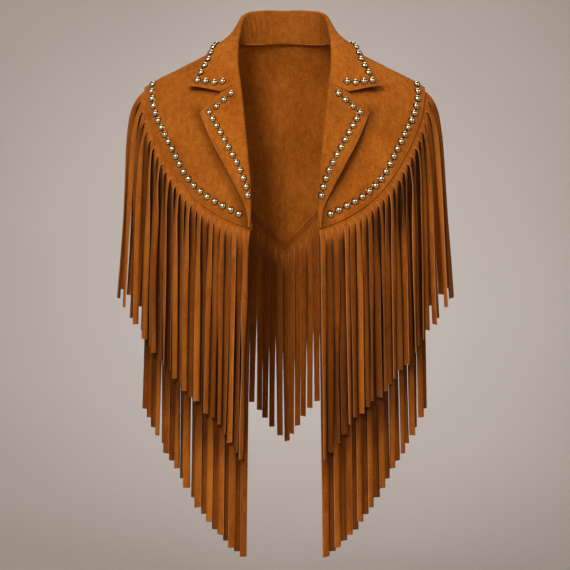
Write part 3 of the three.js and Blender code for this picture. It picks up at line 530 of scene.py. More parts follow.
class RowTree(Tree):
    """A Geometry Nodes tree with named sizes in millimetres, ending in one material"""
    def __init__(self, name, sizes):
        self.tree = bpy.data.node_groups.new(name, "GeometryNodeTree")
        self.sizes = sizes
        self.inputs = {}
        self.add_socket("Geometry", "INPUT", "NodeSocketGeometry")
        for size in sizes:
            self.inputs[size] = self.add_socket(size, "INPUT", "NodeSocketFloat")
        self.inputs["Finish"] = self.add_socket("Finish", "INPUT", "NodeSocketMaterial")
        self.add_socket("Geometry", "OUTPUT", "NodeSocketGeometry")
        self.given = self.node("NodeGroupInput")

    def add_socket(self, name, way, kind):
        made = self.tree.interface.new_socket(name, in_out=way, socket_type=kind)
        return made.identifier

    def size(self, name):
        return self.given.out(name)

    def vector(self, x, y, z):
        return self.node("ShaderNodeCombineXYZ", None, {0: x, 1: y, 2: z}).out(0)

    def named(self, name):
        settings = {"data_type": "FLOAT_VECTOR"}
        return self.node("GeometryNodeInputNamedAttribute", settings, {"Name": name}).out(0)

    def shaken(self, vector, most, seed):
        """A vector with a random part added on each point"""
        spread = {0: (-most,) * 3, 1: (most,) * 3, "Seed": seed}
        shake = self.node("FunctionNodeRandomValue", {"data_type": "FLOAT_VECTOR"}, spread).out(0)
        return self.node("ShaderNodeVectorMath", {"operation": "ADD"}, {0: vector, 1: shake}).out(0)

    def ball(self, segments, rings):
        values = {"Segments": segments, "Rings": rings, "Radius": 1.0}
        return self.node("GeometryNodeMeshUVSphere", None, values).out(0)

    def turned_to(self, axis, vector, rotation=None, pivot="AUTO"):
        settings = {"axis": axis, "pivot_axis": pivot}
        values = {"Rotation": rotation, "Vector": vector}
        return self.node("FunctionNodeAlignRotationToVector", settings, values).out(0)

    def smooth(self, mesh, yes=True):
        return self.node("GeometryNodeSetShadeSmooth", None, {0: mesh, "Shade Smooth": yes}).out(0)

    def join(self, *parts):
        joined = self.node("GeometryNodeJoinGeometry")
        for part in reversed(parts):
            self.tree.links.new(part.socket, joined.node.inputs[0])
        return joined.out(0)

    def on_points(self, points, shape, rotation):
        values = {"Points": points, "Instance": shape, "Rotation": rotation}
        return self.node("GeometryNodeInstanceOnPoints", None, values).out(0)

    def end(self, result):
        realized = self.node("GeometryNodeRealizeInstances", None, {0: result}).out(0)
        values = {"Geometry": realized, "Material": self.given.out("Finish")}
        finished = self.node("GeometryNodeSetMaterial", None, values).out(0)
        self.node("NodeGroupOutput", None, {0: finished})

    def run_on(self, made, finish):
        """Runs the tree on an object and leaves the result as its plain mesh"""
        modifier = made.modifiers.new("row", "NODES")
        modifier.node_group = self.tree
        for size, value in self.sizes.items():
            modifier[self.inputs[size]] = value * MM
        modifier[self.inputs["Finish"]] = finish
        made.update_tag()
        now = made.evaluated_get(bpy.context.evaluated_depsgraph_get())
        plain = bpy.data.meshes.new_from_object(now)
        made.modifiers.remove(modifier)
        made.data = plain
        return made


def stud_tree():
    row = RowTree("stud_row", STUD_SIZES)
    points, facing = row.size("Geometry"), row.named("facing")
    leaning = row.shaken(facing, STUD_TILT, STUD_SEED)
    ball = row.ball(STUD_SIDES, STUD_SIDES // 2 + 2)
    at = row.node("ShaderNodeSeparateXYZ", None, {0: row.node("GeometryNodeInputPosition").out(0)})
    top = at.out(2).sum("MAXIMUM", 0.0)
    low = at.out(2).sum("MINIMUM", 0.0) * STUD_UNDER * row.size("Height")
    seat = row.size("Rim Height")
    place = row.vector(at.out(0) * row.size("Radius"), at.out(1) * row.size("Radius"),
                       top * row.size("Height") + low + seat)
    marked = row.node("GeometryNodeStoreNamedAttribute", {"data_type": "FLOAT", "domain": "POINT"}, {
        "Geometry": ball, "Name": "height", "Value": top}).out(0)
    dome = row.node("GeometryNodeSetPosition", None, {"Geometry": marked, "Position": place}).out(0)
    rim = row.node("GeometryNodeMeshCone", None, {
        "Vertices": STUD_SIDES, "Radius Bottom": row.size("Rim"),
        "Radius Top": row.size("Radius") * RIM_TOP, "Depth": seat * RIM_DEPTH}).out(0)
    stud = row.join(row.smooth(dome), row.smooth(rim, False))
    studs = row.on_points(points, stud, row.turned_to("Z", leaning))
    lift = row.node("ShaderNodeVectorMath", {"operation": "SCALE"}, {
        0: facing, "Scale": row.size("Wire")}).out(0)
    raised = row.node("GeometryNodeSetPosition", None, {"Geometry": points, "Offset": lift}).out(0)
    line = row.node("GeometryNodeMeshToCurve", None, {0: raised}).out(0)
    circle = row.node("GeometryNodeCurvePrimitiveCircle", None, {
        "Resolution": WIRE_SIDES, "Radius": row.size("Wire")}).out(0)
    wire = row.node("GeometryNodeCurveToMesh", None, {
        "Curve": line, "Profile Curve": circle, "Fill Caps": True}).out(0)
    row.end(row.join(studs, row.smooth(wire)))
    return row


def stud_finish():
    """Pale warm nickel with fine handling scratches, a little tarnish and a painted dark reflection and
    shade round its foot
    """
    metal = Finish("stud_metal")
    cloud = metal.noise(metal.where(), 0.004, 3.0)
    scratch = metal.noise(metal.where(), 0.0006, 2.0, (1, 0.15, 1))
    colour = metal.mix(cloud.rise(0.35, 0.75), NICKEL_PALE, NICKEL_TARNISHED)
    # Painted dark reflection and shade round the foot of each dome
    colour = metal.mix(metal.attribute("height").rise(0.45, 0.12), colour, NICKEL_FOOT_REFLECTION)
    rough = 0.03 + 0.05 * cloud + 0.03 * scratch
    return metal.surface(
        Base_Color=colour, Metallic=1.0, Roughness=rough, Normal=metal.bump(scratch, 0.00002))


stud_row_tree = stud_tree()
stud_metal = stud_finish()


def stud_row(name, points, normals, *nodes):
    """Studs on points in millimetres, joined in turn by the wire"""
    links = [(k, k + 1) for k in range(len(points) - 1)]
    made = to_mesh(name, points * MM, links=links)
    set_attribute(made, "facing", normals, "FLOAT_VECTOR")
    stud_row_tree.run_on(made, stud_metal)
    return dress(made, "stud_metal", *nodes)


# Stitches: short stitches of waxed thread, in rows beside the cut edges of the panels, lapels
# and collar. Each row lies in a shallow groove, where the pull of the thread sinks the suede.
STITCH_SIZES = {"Half Length": 1.25, "Half Width": 0.34}
STITCH_FLAT = 0.8      # height of a stitch, as a share of its width
STITCH_PITCH = 3.4
STITCH_LIFT = 0.05
STITCH_SHAKE = 0.1     # how unevenly they run
STITCH_SEED = 9
THREAD_DARK = (0.20, 0.055, 0.010, 1)
THREAD_PALE = (0.36, 0.11, 0.02, 1)


def stitch_tree():
    row = RowTree("stitch_row", STITCH_SIZES)
    width = row.size("Half Width")
    scale = row.vector(row.size("Half Length"), width, width * STITCH_FLAT)
    values = {"Geometry": row.ball(8, 6), "Scale": scale}
    thread = row.node("GeometryNodeTransform", None, values).out(0)
    along = row.shaken(row.named("along"), STITCH_SHAKE, STITCH_SEED)
    turned = row.turned_to("Z", row.named("facing"), row.turned_to("X", along), "X")
    row.end(row.on_points(row.size("Geometry"), row.smooth(thread), turned))
    return row


def thread_finish():
    waxed = Finish("waxed_thread")
    twist = waxed.noise(waxed.where(), 0.0005, 1.0)
    return waxed.surface(
        Base_Color=waxed.mix(twist.rise(0.3, 0.7), THREAD_DARK, THREAD_PALE),
        Roughness=0.6 + 0.2 * twist, Normal=waxed.bump(twist, 0.0001))


stitch_row_tree = stitch_tree()
waxed_thread = thread_finish()


def evenly(points, normals, count):
    """Even places along a broken line, each with its normal"""
    run = walked(points)
    wanted = np.linspace(0, run[-1], count)
    spread = [np.stack([np.interp(wanted, run, values[:, k]) for k in range(3)], axis=-1)
              for values in (points, normals)]
    return spread[0], unit(spread[1])


def stitch_row(name, *rows):
    """Stitches along lines of (points, normals) in millimetres, at an even pitch"""
    placed = []
    for points, normals in rows:
        on, facing = evenly(points, normals, int(walked(points)[-1] / STITCH_PITCH))
        placed.append((on, facing, unit(np.gradient(on, axis=0))))
    on, facing, along = (np.vstack(part) for part in zip(*placed))
    made = to_mesh(name, (on + facing * STITCH_LIFT) * MM)
    set_attribute(made, "facing", facing, "FLOAT_VECTOR")
    set_attribute(made, "along", along, "FLOAT_VECTOR")
    stitch_row_tree.run_on(made, waxed_thread)
    return dress(made, "suede")


# Front panels: two pieces of suede, cut to the shoulder, neck, front edge and slanting lower
# edge. They lie over the fringe's strip, sewn down just above their own edge.
CAD_CLOTH = 2                  # thickness of the solids that the pieces stand for
SEAM_GAP = 0.3
SEAM_HALF = SEAM_GAP / 2 + 0.02
FOLD_RADIUS = 3.2              # of the middle of a lapel or the collar round its fold
FOLD_LIFT = -0.2               # height of the centre of a lapel's fold over the form
FOLD_REACH = FOLD_RADIUS + CAD_CLOTH / 2
BAND = 5                       # height of a panel's edge over the line where the fringe is slit
SHOULDER_TIP = -234.5          # x of the shoulder seam's outer end
CORNER_SHARE = 0.93            # where along the edge the corner at the centre front starts
CORNER_BLEND = (0.85, 1)
FRONT_CELLS = (132, 88)
FRONT_CROWDING = 1.1           # rows stand closer together near the neck
FRONT_STUDS = 21
STUD_SAMPLES = 120
FRONT_SEWN = (0.01, 0.985)     # the part of the panel's edge that is sewn
NECK_SEWN = (0.01, 0.2, 30)    # the part of the neck's, and how many points it is taken at
NECK_SEAM_FRONT = [(-80, 0), (-82, -30), (-79, -56), (-74, -72)]
FRONT_HEM = [
    (-232, -56), (-226, -86), (-213, -122), (-194, -160), (-170, -197.5), (-141, -229.5),
    (-108, -252.4), (-75, -268), (-54, -274.5)]
HEM_STUDS = [
    (-215.5, -31), (-216.5, -44), (-212.8, -67), (-204.3, -92.5), (-191.5, -118.1),
    (-178.8, -142.6), (-167, -166.6), (-154, -189), (-137, -207.5), (-113.6, -224.5), (-72, -246.7)]
LAPEL_ROLL = [
    (-69.5, -37), (-64, -83), (-60.3, -123), (-56.7, -158), (-53.2, -198), (-52.3, -233),
    (-52.8, -254), (-53.6, -268.5)]


def table(columns, rows):
    return [dict(zip(columns, row)) for row in rows]


# Soft troughs and ridges, where they lie in the picture: from x, z to end_x, end_z,
# with the half width and the height of each, below zero for a trough
CREASE = ("x", "z", "end_x", "end_z", "width", "height")
FRONT_CREASES = table(CREASE, [
    (-150, 4, -196, -84, 15, -1.1),
    (-122, -38, -168, -118, 19, 0.9),
    (-196, -22, -206, -84, 9, 0.8),
    (-112, -118, -150, -190, 22, -0.9),
    (-86, -176, -112, -224, 14, 0.7),
    (-70, -214, -88, -246, 10, -0.6),
    (-178, 2, -214, -30, 10, -0.7),
    (140, 6, 188, -92, 17, -1.0),
    (118, -60, 150, -140, 18, 0.8),
    (192, -30, 208, -92, 10, 0.9),
    (104, -136, 140, -204, 20, -0.8),
    (76, -190, 100, -236, 12, 0.6),
    (176, 0, 210, -26, 9, -0.6)])
STUD_DENT = {"reach": 6.5, "depth": 0.45}      # how a stud pulls the suede in round it
NO_STUDS = np.zeros((0, 3))
MIRROR = np.array([-1, 1, 1])
SIDES = {"left": np.array([1, 1, 1]), "right": MIRROR}


def crowded(count, near=0.006):
    """Shares from 0 to 1 with one more close to each end, so that a rounded rim stays narrow"""
    inner = np.linspace(0, 1, count)[1:-1]
    return np.concatenate([[0, near], inner, [1 - near, 1]])


def creased(points, creases):
    """How far soft troughs and ridges lift a surface, placed as seen from the front"""
    total = np.zeros(points.shape[:-1])
    for crease in creases:
        start = np.array([crease["x"], crease["z"]], float)
        run = np.array([crease["end_x"], crease["end_z"]], float) - start
        away = points[..., [0, 2]] - start
        share = np.clip(away @ run / (run @ run), 0, 1)
        distance = np.linalg.norm(away - share[..., None] * run, axis=-1)
        total += crease["height"] * hill(distance, crease["width"])
    return total


def with_relief(points, normals, creases, studs):
    """A face with its creases, and pulled in a little round each stud"""
    dents = STUD_DENT["depth"] * hill(away_from(points, studs), STUD_DENT["reach"])
    return points + normals * (creased(points, creases) - dents)[..., None], normals


def front_face(place, turn, studs):
    """The outer face of a front panel at places on the form, turned to its side"""
    return with_relief(on_form(place) * turn, outward(place) * turn, FRONT_CREASES, studs)


def panel_edge(hem):
    """The panel's own edge, a band above the line where the fringe is slit"""
    place, _, _, off = hem.frame(np.linspace(0, 1, 24)[1:])
    inside = moved(place, off, BAND * np.sign(off[:, 2]))
    return Line(np.vstack([[SHOULDER_TIP + BAND, 0], inside]))


def beside_seam(place, side):
    """Keeps a place half a seam gap off the shoulder seam"""
    x, w = place[..., 0], place[..., 1]
    gap = from_above(np.stack([x, np.full(x.shape, side * SEAM_HALF)], axis=-1))
    return np.stack([x, side * np.maximum(np.abs(w), np.abs(gap[..., 1]))], axis=-1)


def downward(off):
    return np.where(off[..., 2:] > 0, -off, off)


def inside_line(line, inset, start, end, count=120):
    """Places along a line, moved in from it, as far as the cape's centre"""
    place, _, _, off = line.frame(np.linspace(start, end, count))
    inside = moved(place, downward(off), np.full(count, -inset))
    return inside[inside[:, 0] < 0]


def front_place(u, v):
    v = v[..., None]
    corner_start, corner_end = front_panel_edge.at(CORNER_SHARE), front_panel_edge.at(1)
    top, bottom = front_edge.at(u), front_panel_edge.at(CORNER_SHARE * u)
    corner = front_panel_edge.at(1 - (1 - CORNER_SHARE) * v[..., 0])
    off_chord = corner - corner_end - (corner_start - corner_end) * v
    return top + (bottom - top) * v + off_chord * soft_step(u, *CORNER_BLEND)[..., None]


front_hem = Line(np.vstack([[SHOULDER_TIP, 0], from_front(FRONT_HEM)]))
front_panel_edge = panel_edge(front_hem)
roll = Line(from_front(LAPEL_ROLL))
roll_place, _, _, roll_off = roll.frame(np.linspace(0, 1, 12))
fold_centre = Line(moved(roll_place, roll_off, -np.sign(roll_off[:, 0]) * FOLD_REACH))
front_edge = Line(np.vstack([
    from_above(NECK_SEAM_FRONT[:-1]), fold_centre.at(np.linspace(0, 1, 9)) - [SEAM_GAP, 0],
    front_panel_edge.at(1)[None]]))


def make_front(label, turn):
    stud_line = Line(from_front(HEM_STUDS)).at(np.linspace(0, 1, STUD_SAMPLES))
    studs, normals = evenly(*front_face(stud_line, turn, NO_STUDS), FRONT_STUDS)
    u, v = np.meshgrid(
        crowded(FRONT_CELLS[0]) ** FRONT_CROWDING, crowded(FRONT_CELLS[1]), indexing="ij")
    face, out = front_face(beside_seam(front_place(u, v), -1), turn, studs)
    panel = suede_piece(f"yoke_front_{label}", face - out * SUEDE / 2)
    dress(panel, "suede", f"front_{label}")
    row = stud_row(f"front_{label}_studs", studs + normals * STUD_SEAT, normals, f"studs_hem_{label}")
    sewn = [inside_line(front_panel_edge, STITCH_INSET, *FRONT_SEWN),
            inside_line(front_edge, STITCH_INSET, *NECK_SEWN)]
    thread = stitch_row(f"front_{label}_stitches", *(front_face(line, turn, studs) for line in sewn))


for label, turn in SIDES.items():
    make_front(label, turn)


# Back: one piece of suede from shoulder seam to shoulder seam, pointed at the centre. It lies
# over the back fringe's strip, sewn down above its own edge, and its neck takes the collar.
BACK_CELLS = (104, 96)
BACK_STUDS = 25                # on one half, with the one on the centre line
BACK_STUD_INSET = 16.5
BACK_STUD_START = 0.03
BACK_SEWN = (0.01, 1, 160)
NECK_SEAM = [(0, 62), (-34, 54), (-60, 38), (-75, 17), (-80, 0)]
BACK_HEM = [
    (-230.5, -62), (-213, -92), (-186, -128), (-150, -165), (-105, -207), (-59, -251),
    (-20, -290.5), (0, -310)]
BACK_CREASES = table(CREASE, [
    (-30, 10, -56, -120, 22, -1.1),
    (44, 0, 34, -150, 24, -0.9),
    (4, -60, -8, -230, 20, 0.9),
    (-112, -6, -140, -118, 18, 0.9),
    (120, -20, 148, -124, 20, 0.8),
    (-170, -20, -196, -86, 14, -0.9),
    (176, -12, 190, -82, 13, -0.8),
    (-70, -150, -92, -208, 16, -0.7),
    (78, -140, 90, -206, 15, 0.7)])


def both_halves(half):
    """A row or grid that ends on the centre line, carried on along the other side"""
    half = half.copy()
    half[-1, ..., 0] = 0
    return np.concatenate([half, half[:-1][::-1] * MIRROR])


def whole_row(half, normals):
    """A row on one half, with its normals, carried on along the other"""
    return both_halves(half), unit(both_halves(normals))


def back_place(u, v):
    top, bottom = back_neck.at(1 - u), back_panel_edge.at(u)
    return top + (bottom - top) * v[..., None]


back_neck = Line(from_above(NECK_SEAM))
back_hem = Line(np.vstack([[SHOULDER_TIP, 0], from_front(BACK_HEM, side=1)]))
back_panel_edge = panel_edge(back_hem)


def back_face(place, studs):
    points, normals = both_halves(on_form(place)), both_halves(outward(place))
    return with_relief(points, normals, BACK_CREASES, studs)


def make_back():
    stud_line = inside_line(back_hem, BACK_STUD_INSET, BACK_STUD_START, 1)
    half, half_normals = evenly(on_form(stud_line), outward(stud_line), BACK_STUDS)
    studs, normals = whole_row(half, half_normals)
    shares = np.append(crowded(BACK_CELLS[0])[:-2], 1)
    u, v = np.meshgrid(shares, crowded(BACK_CELLS[1]), indexing="ij")
    face, out = back_face(beside_seam(back_place(u, v), 1), studs)
    panel = suede_piece("yoke_back", face - out * SUEDE / 2)
    dress(panel, "suede", "back")
    row = stud_row("back_studs", studs + normals * STUD_SEAT, normals, "studs_back")
    sewn = inside_line(back_panel_edge, STITCH_INSET, *BACK_SEWN)
    thread = stitch_row("back_stitches", back_face(sewn, studs))


make_back()


# Lapels: a piece of suede each, notched at the top. It turns round the front edge of its panel
# and lies on it, standing off a little along the lower part of its outer edge.
LAPEL_NOTCH = (-101, -51.5)
LAPEL_EDGE = [
    (-134.6, -85), (-113.7, -130.6), (-92.5, -171), (-73, -210.5), (-61.5, -236), (-57.8, -256),
    (-57.2, -268.5)]
LAPEL_TOP_STUDS = 4
LAPEL_SIDE_STUDS = 11
LAPEL_STUDS = [
    (-84.4, -55), (-119.3, -85.1), (-94.8, -129.4), (-68.8, -180), (-60.3, -204), (-57.6, -218)]
LAPEL_REST = SEAM_GAP + CAD_CLOTH / 2      # height of its middle over the panel
LAPEL_SHADOW = {"strength": 0.62, "reach": 15}     # painted shadow on the panel, along the outer edge
FOLD_TOP = FOLD_LIFT + FOLD_RADIUS
ROLL_RUN = 16                  # how far from the fold the cloth comes down to rest
NOTCH_SHARE = 0.44
LAPEL_CELLS = (112, 44)
FOLD_CELLS = 12
FLANGE = 5                     # cloth that turns in behind the panel's edge
FLANGE_SHARES = (0.35, 0.7, 0.97, 1)
LAPEL_SEWN = np.linspace(0.03, 0.96, 120)
LAPEL_SEWN_MOST = 0.8          # how far in from the edge the seam may lie, as a share
# How far the outer edge springs off: it sets in at "low" below the form's origin, and only
# where the lapel is wide enough
LAPEL_SPRING = {"height": 12, "low": (70, 150), "width": (4, 30)}
# Waves of the outer edge: where along it, how wide as a share, and how high on each lapel
LAPEL_WAVES = table(("at", "width", "left", "right"), [
    (0.36, 0.1, 0.8, 0.3),
    (0.58, 0.09, -0.9, 0.6),
    (0.78, 0.08, 0.7, -0.5)])


def between(a, b, share):
    return a + (b - a) * np.asarray(share)[..., None]


def notched(count):
    """Shares from 0 to 1 across a lapel or collar, with one exactly at the notch corner"""
    low = int(count * NOTCH_SHARE)
    return np.concatenate([
        np.linspace(0, NOTCH_SHARE, low)[:-1], np.linspace(NOTCH_SHARE, 1, count - low)[:-1], [0.99, 1]])


def by_notch(start, notch, end, v):
    """Points that run from start to end by way of the notch corner, as v goes from 0 to 1"""
    past = np.where(v < NOTCH_SHARE, v / NOTCH_SHARE, (v - NOTCH_SHARE) / (1 - NOTCH_SHARE))
    inner, outer = between(start, notch, past), between(notch, end, past)
    return np.where((v < NOTCH_SHARE)[..., None], inner, outer)


lapel_edge = Line(from_front(LAPEL_EDGE))


def lapel_place(u, v):
    ends = fold_centre.at(0), lapel_edge.at(0), fold_centre.at(1), lapel_edge.at(1)
    top, bottom = by_notch(ends[0], from_front(LAPEL_NOTCH), ends[1], v), between(ends[2], ends[3], v)
    corners = between(between(ends[0], ends[1], v), bottom, u)
    return between(fold_centre.at(u), lapel_edge.at(u), v) + between(top, bottom, u) - corners


def lapel_lift(place, u, label):
    """Height of the middle of the lapel over the panel"""
    points, shares = on_form(place), np.linspace(0, 1, 240)
    from_fold = away_from(points, on_form(fold_centre.at(shares)))
    width = from_fold + away_from(points, on_form(lapel_edge.at(shares)))
    rest = LAPEL_REST + (FOLD_TOP - LAPEL_REST) * hill(from_fold, ROLL_RUN)
    spring = LAPEL_SPRING["height"] * soft_step(-points[..., 2], *LAPEL_SPRING["low"])
    for wave in LAPEL_WAVES:
        spring = spring + wave[label] * hill(u - wave["at"], wave["width"])
    wide_enough = soft_step(width, *LAPEL_SPRING["width"])
    return rest + spring * wide_enough * (from_fold / width) ** 2


def opening(off):
    """The way off a line in the cloth that leads toward the open front"""
    return np.where(off[:, :1] > 0, off, -off)


def fold_arc(centre, out, open_way):
    """Points on round a fold, from just past its top to behind the cloth"""
    turns = np.radians(np.linspace(90, -90, FOLD_CELLS + 1)[1:])[None, :, None]
    return centre[:, None] + FOLD_RADIUS * (
        out[:, None] * np.sin(turns) + open_way[:, None] * np.cos(turns))


def lapel_fold(u):
    """Points that carry the lapel on round the fold and in behind the panel's edge"""
    place, _, normal, off = fold_centre.frame(u)
    whole, open_way = np.ones(len(u)), opening(off)
    arc = fold_arc(lifted(place, FOLD_LIFT * whole), normal, open_way)
    end = lifted(moved(place, open_way, -FLANGE * whole), (FOLD_LIFT - FOLD_RADIUS) * whole)
    behind = [between(arc[:, -1], end, share)[:, None] for share in FLANGE_SHARES]
    return np.concatenate([arc, *behind], axis=1)


def on_lapel(u, v, label):
    """Points on the lapel's outer face, with normals"""
    place = lapel_place(u, v)
    return lifted(place, lapel_lift(place, u, label) + SUEDE / 2), outward(place)


def stud_places(place, label):
    """Points on the lapel's face for stud places, found on a grid of the lapel"""
    u, v = np.meshgrid(np.linspace(0, 1, 160), np.linspace(0, 1, 60), indexing="ij")
    grid = lapel_place(u, v)
    face, normal = on_lapel(u, v, label)
    nearest = [np.argmin(np.sum((grid.reshape(-1, 2) - p) ** 2, axis=1)) for p in place]
    lift = np.sum((face - on_form(grid)) * normal, axis=-1).ravel()
    return lifted(place, lift[nearest] + STUD_SEAT), outward(place)


def lapel_studs(turn, label):
    start, corner, *rest = from_front(LAPEL_STUDS)
    first = between(start, corner, np.linspace(0, 1, 12))
    then = Line(np.vstack([corner, *rest])).at(np.linspace(0, 1, 40))
    top = evenly(*stud_places(first, label), LAPEL_TOP_STUDS)
    low = evenly(*stud_places(then, label), LAPEL_SIDE_STUDS + 1)
    return [np.vstack([a, b[1:]]) * turn for a, b in zip(top, low)]


def lapel_stitches(turn, label):
    u = LAPEL_SEWN
    width = np.linalg.norm(on_form(lapel_edge.at(u)) - on_form(fold_centre.at(u)), axis=-1)
    sewn = on_lapel(u, 1 - np.minimum(LAPEL_SEWN_MOST, STITCH_INSET / width), label)
    return [part * turn for part in sewn]


def make_lapel(label, turn):
    u, v = np.meshgrid(crowded(LAPEL_CELLS[0]), notched(LAPEL_CELLS[1])[::-1], indexing="ij")
    place = lapel_place(u, v)
    face = lifted(place, lapel_lift(place, u, label))
    middle = np.concatenate([face, lapel_fold(u[:, 0])], axis=1) * turn
    lapel = suede_piece(f"lapel_{label}_suede", middle)
    dress(lapel, "suede", f"lapel_{label}")
    # Painted shadow on the panel along the lapel's outer edge
    beside = on_form(lapel_edge.at(np.linspace(0, 1, 90))) * turn
    paint_shade_near(bpy.data.objects[f"yoke_front_{label}"], beside, **LAPEL_SHADOW)
    studs, normals = lapel_studs(turn, label)
    row = stud_row(f"lapel_{label}_stud_row", studs, normals, f"studs_lapel_{label}")
    thread = stitch_row(f"lapel_{label}_stitches", lapel_stitches(turn, label))


for label, turn in SIDES.items():
    make_lapel(label, turn)


# Collar: one piece of suede, with a stand inside the neck and a fall that turns out over it,
# notched against the lapels. The stand is gathered a little where it was eased into the neck.
COLLAR_FOLD = [
    (0, 72, 103), (-30, 69.5, 103), (-57, 56, 98.5), (-69.5, 33, 87), (-73, 0, 57),
    (-74.5, -36, 25.5), (-73, -61, -13)]
COLLAR_EDGE = [(0, 77), (-40, 73), (-74, 57), (-96, 35), (-117.5, 3), (-132, -30), (-144, -43)]
COLLAR_TIP = (-152.7, -44)
COLLAR_NOTCH = (-101.5, -52)
GORGE = (-74.2, -32.5)
COLLAR_REST = 1.6 + CAD_CLOTH / 2      # height of the middle of the fall over the panels
COLLAR_SPRING = {"height": 8, "along": (0.62, 0.98), "across": (0.2, 0.9)}
# Painted shadow on the front panels under the collar's front edge
COLLAR_SHADOW = {"strength": 0.75, "reach": 6}
COLLAR_SHADOW_START = 0.15     # from the tip toward the notch
NOTCH_LIFT = 1
CUT_START = 0.9                # where along the collar its end starts to be cut to the notch
CUT_RUN = 0.1
CUT_EASE = 1.5
FALL_BELLY = 5
FALL_HELD = (0, 0.08)          # where across the fall it comes to be held over the panels
STAND_UNDER = 4                # seam allowance under the panels
STAND_LEVEL = 44.5             # height of its lower edge at the centre back
STAND_FALL = 0.15              # how far that comes down for each millimetre forward
STAND_LEVELLED = (0.6, 0.44)   # where along the collar it comes to be so
STAND_LEAST_FALL = -0.3
STAND_BOW = 1.6
STAND_SHARES = (0.12, 0.24, 0.36, 0.48, 0.6, 0.7, 0.8, 0.88, 0.95, 1)
STAND_TAIL = (0.4, 0.92, 1)
STAND_PAINTED_SHADE = 0.32           # how much painted shade darkens the stand inside the neck
STAND_SHADE_CELLS = (6, 12)
NECK_EASE = 1.3                # room between the stand's lower edge and the panels
STAND_DEPTH = -CAD_CLOTH - SEAM_GAP - CAD_CLOTH / 2 - NECK_EASE
COLLAR_STEP = 0.01
CHEST_LIMIT = -0.93 * CHEST_DEPTH      # as far forward as the form is followed
COLLAR_CELLS = (112, 34)
COLLAR_FRONT_STUDS = 4
COLLAR_SIDE_STUDS = 16
COLLAR_STUD_INSET = 12
COLLAR_STUD_START = 0.33
COLLAR_STUD_FRONT = {"inner": 0.045, "outer": 0.042}
COLLAR_SEWN = np.linspace(0.96, 0, 150)
# Gathers of the stand: on which side, where along the collar from the centre back, how high
GATHERS = table(("side", "at", "height"), [
    ("right", 0.05, 1.4),
    ("left", 0.09, 1.6),
    ("left", 0.15, 2.4),
    ("left", 0.2, 3.2),
    ("left", 0.245, 3.4),
    ("left", 0.295, 2.8),
    ("right", 0.17, 1.6),
    ("right", 0.26, 1.6)])
GATHER_WIDTH = 0.015
GATHER_UP = 0.25               # how far up the stand the gathers are at their highest

gorge_place, _, _, gorge_off = fold_centre.frame(np.zeros(1))
gorge_fold = lifted(gorge_place, [FOLD_LIFT]) + opening(gorge_off) * FOLD_REACH
collar_folds = np.vstack([COLLAR_FOLD, gorge_fold + [0, 0, 2 * SEAM_GAP]])
collar_edge = Line(np.vstack([from_above(COLLAR_EDGE), from_front([COLLAR_TIP])]))
collar_seam = Line(np.vstack([from_above(NECK_SEAM + NECK_SEAM_FRONT[1:-1]), from_front([GORGE])]))
fold_shares = np.linspace(0, 1, 201)
fold_run = walked(smooth_curve(collar_folds, fold_shares))


def flipped(points, far):
    """Points with those of the far side turned over to it"""
    return np.where(far[..., None], points * MIRROR, points)


def along_fold(u):
    """A point of the collar's fold. The far side of the centre back has u below zero."""
    flat = np.abs(u).ravel()
    shares = np.interp(np.minimum(1, flat) * fold_run[-1], fold_run, fold_shares)
    points = smooth_curve(collar_folds, np.minimum(shares, 1 - 1e-9)).reshape(*u.shape, 3)
    return flipped(points, u < 0)


def collar_frame(u):
    """The fold's centre, the ways it opens and faces, the fall's edge, the seam and the run"""
    fold_top = along_fold(u)
    along = unit(along_fold(np.minimum(1, u + COLLAR_STEP)) - along_fold(u - COLLAR_STEP))
    seam_place = collar_seam.at(u)
    edge = lifted(collar_edge.at(u), COLLAR_REST + (CAD_CLOTH * u) ** 2 / 2)
    seam = lifted(seam_place, np.full(u.shape, -CAD_CLOTH / 2))
    open_way = fold_top - (edge + seam) / 2
    open_way = unit(open_way - along * dot(open_way, along))
    normal = outward(seam_place)
    out = normal - open_way * dot(normal, open_way)
    out = unit(out - along * dot(out, along))
    return fold_top - open_way * FOLD_REACH, open_way, out, edge, seam_place, along


def held_over(points, clear):
    """Keeps points of the collar at least a distance over the panels"""
    for _ in range(3):
        level = np.maximum(CHEST_LIMIT, points[..., 1])
        place = from_above(np.stack([points[..., 0], level], axis=-1))
        normal = outward(place)
        height = dot(points - on_form(place), normal)
        points = points + normal * np.maximum(0, clear[..., None] - height)
    return points


def collar_fall(u, v):
    """Points in the middle of the fall: v is 0 at the fold and 1 at its edge"""
    centre, _, out, edge, _, _ = collar_frame(u)
    top = centre + out * FOLD_RADIUS
    belly = FALL_BELLY * np.sin(np.pi * v)
    plain = between(top, edge, v) + out * belly[..., None]
    notch = lifted(from_front(COLLAR_NOTCH), COLLAR_REST + NOTCH_LIFT)
    near_end = np.clip((u - CUT_START) / CUT_RUN, 0, 1) ** CUT_EASE
    wanted = between(plain, by_notch(top, notch, edge, v), near_end)
    low, near_edge = soft_step(u, *COLLAR_SPRING["along"]), soft_step(v, *COLLAR_SPRING["across"])
    spring = COLLAR_SPRING["height"] * low * near_edge
    held = held_over(wanted, COLLAR_REST + spring + belly / 2 * (1 - near_end))
    return between(wanted, held, soft_step(v, *FALL_HELD))


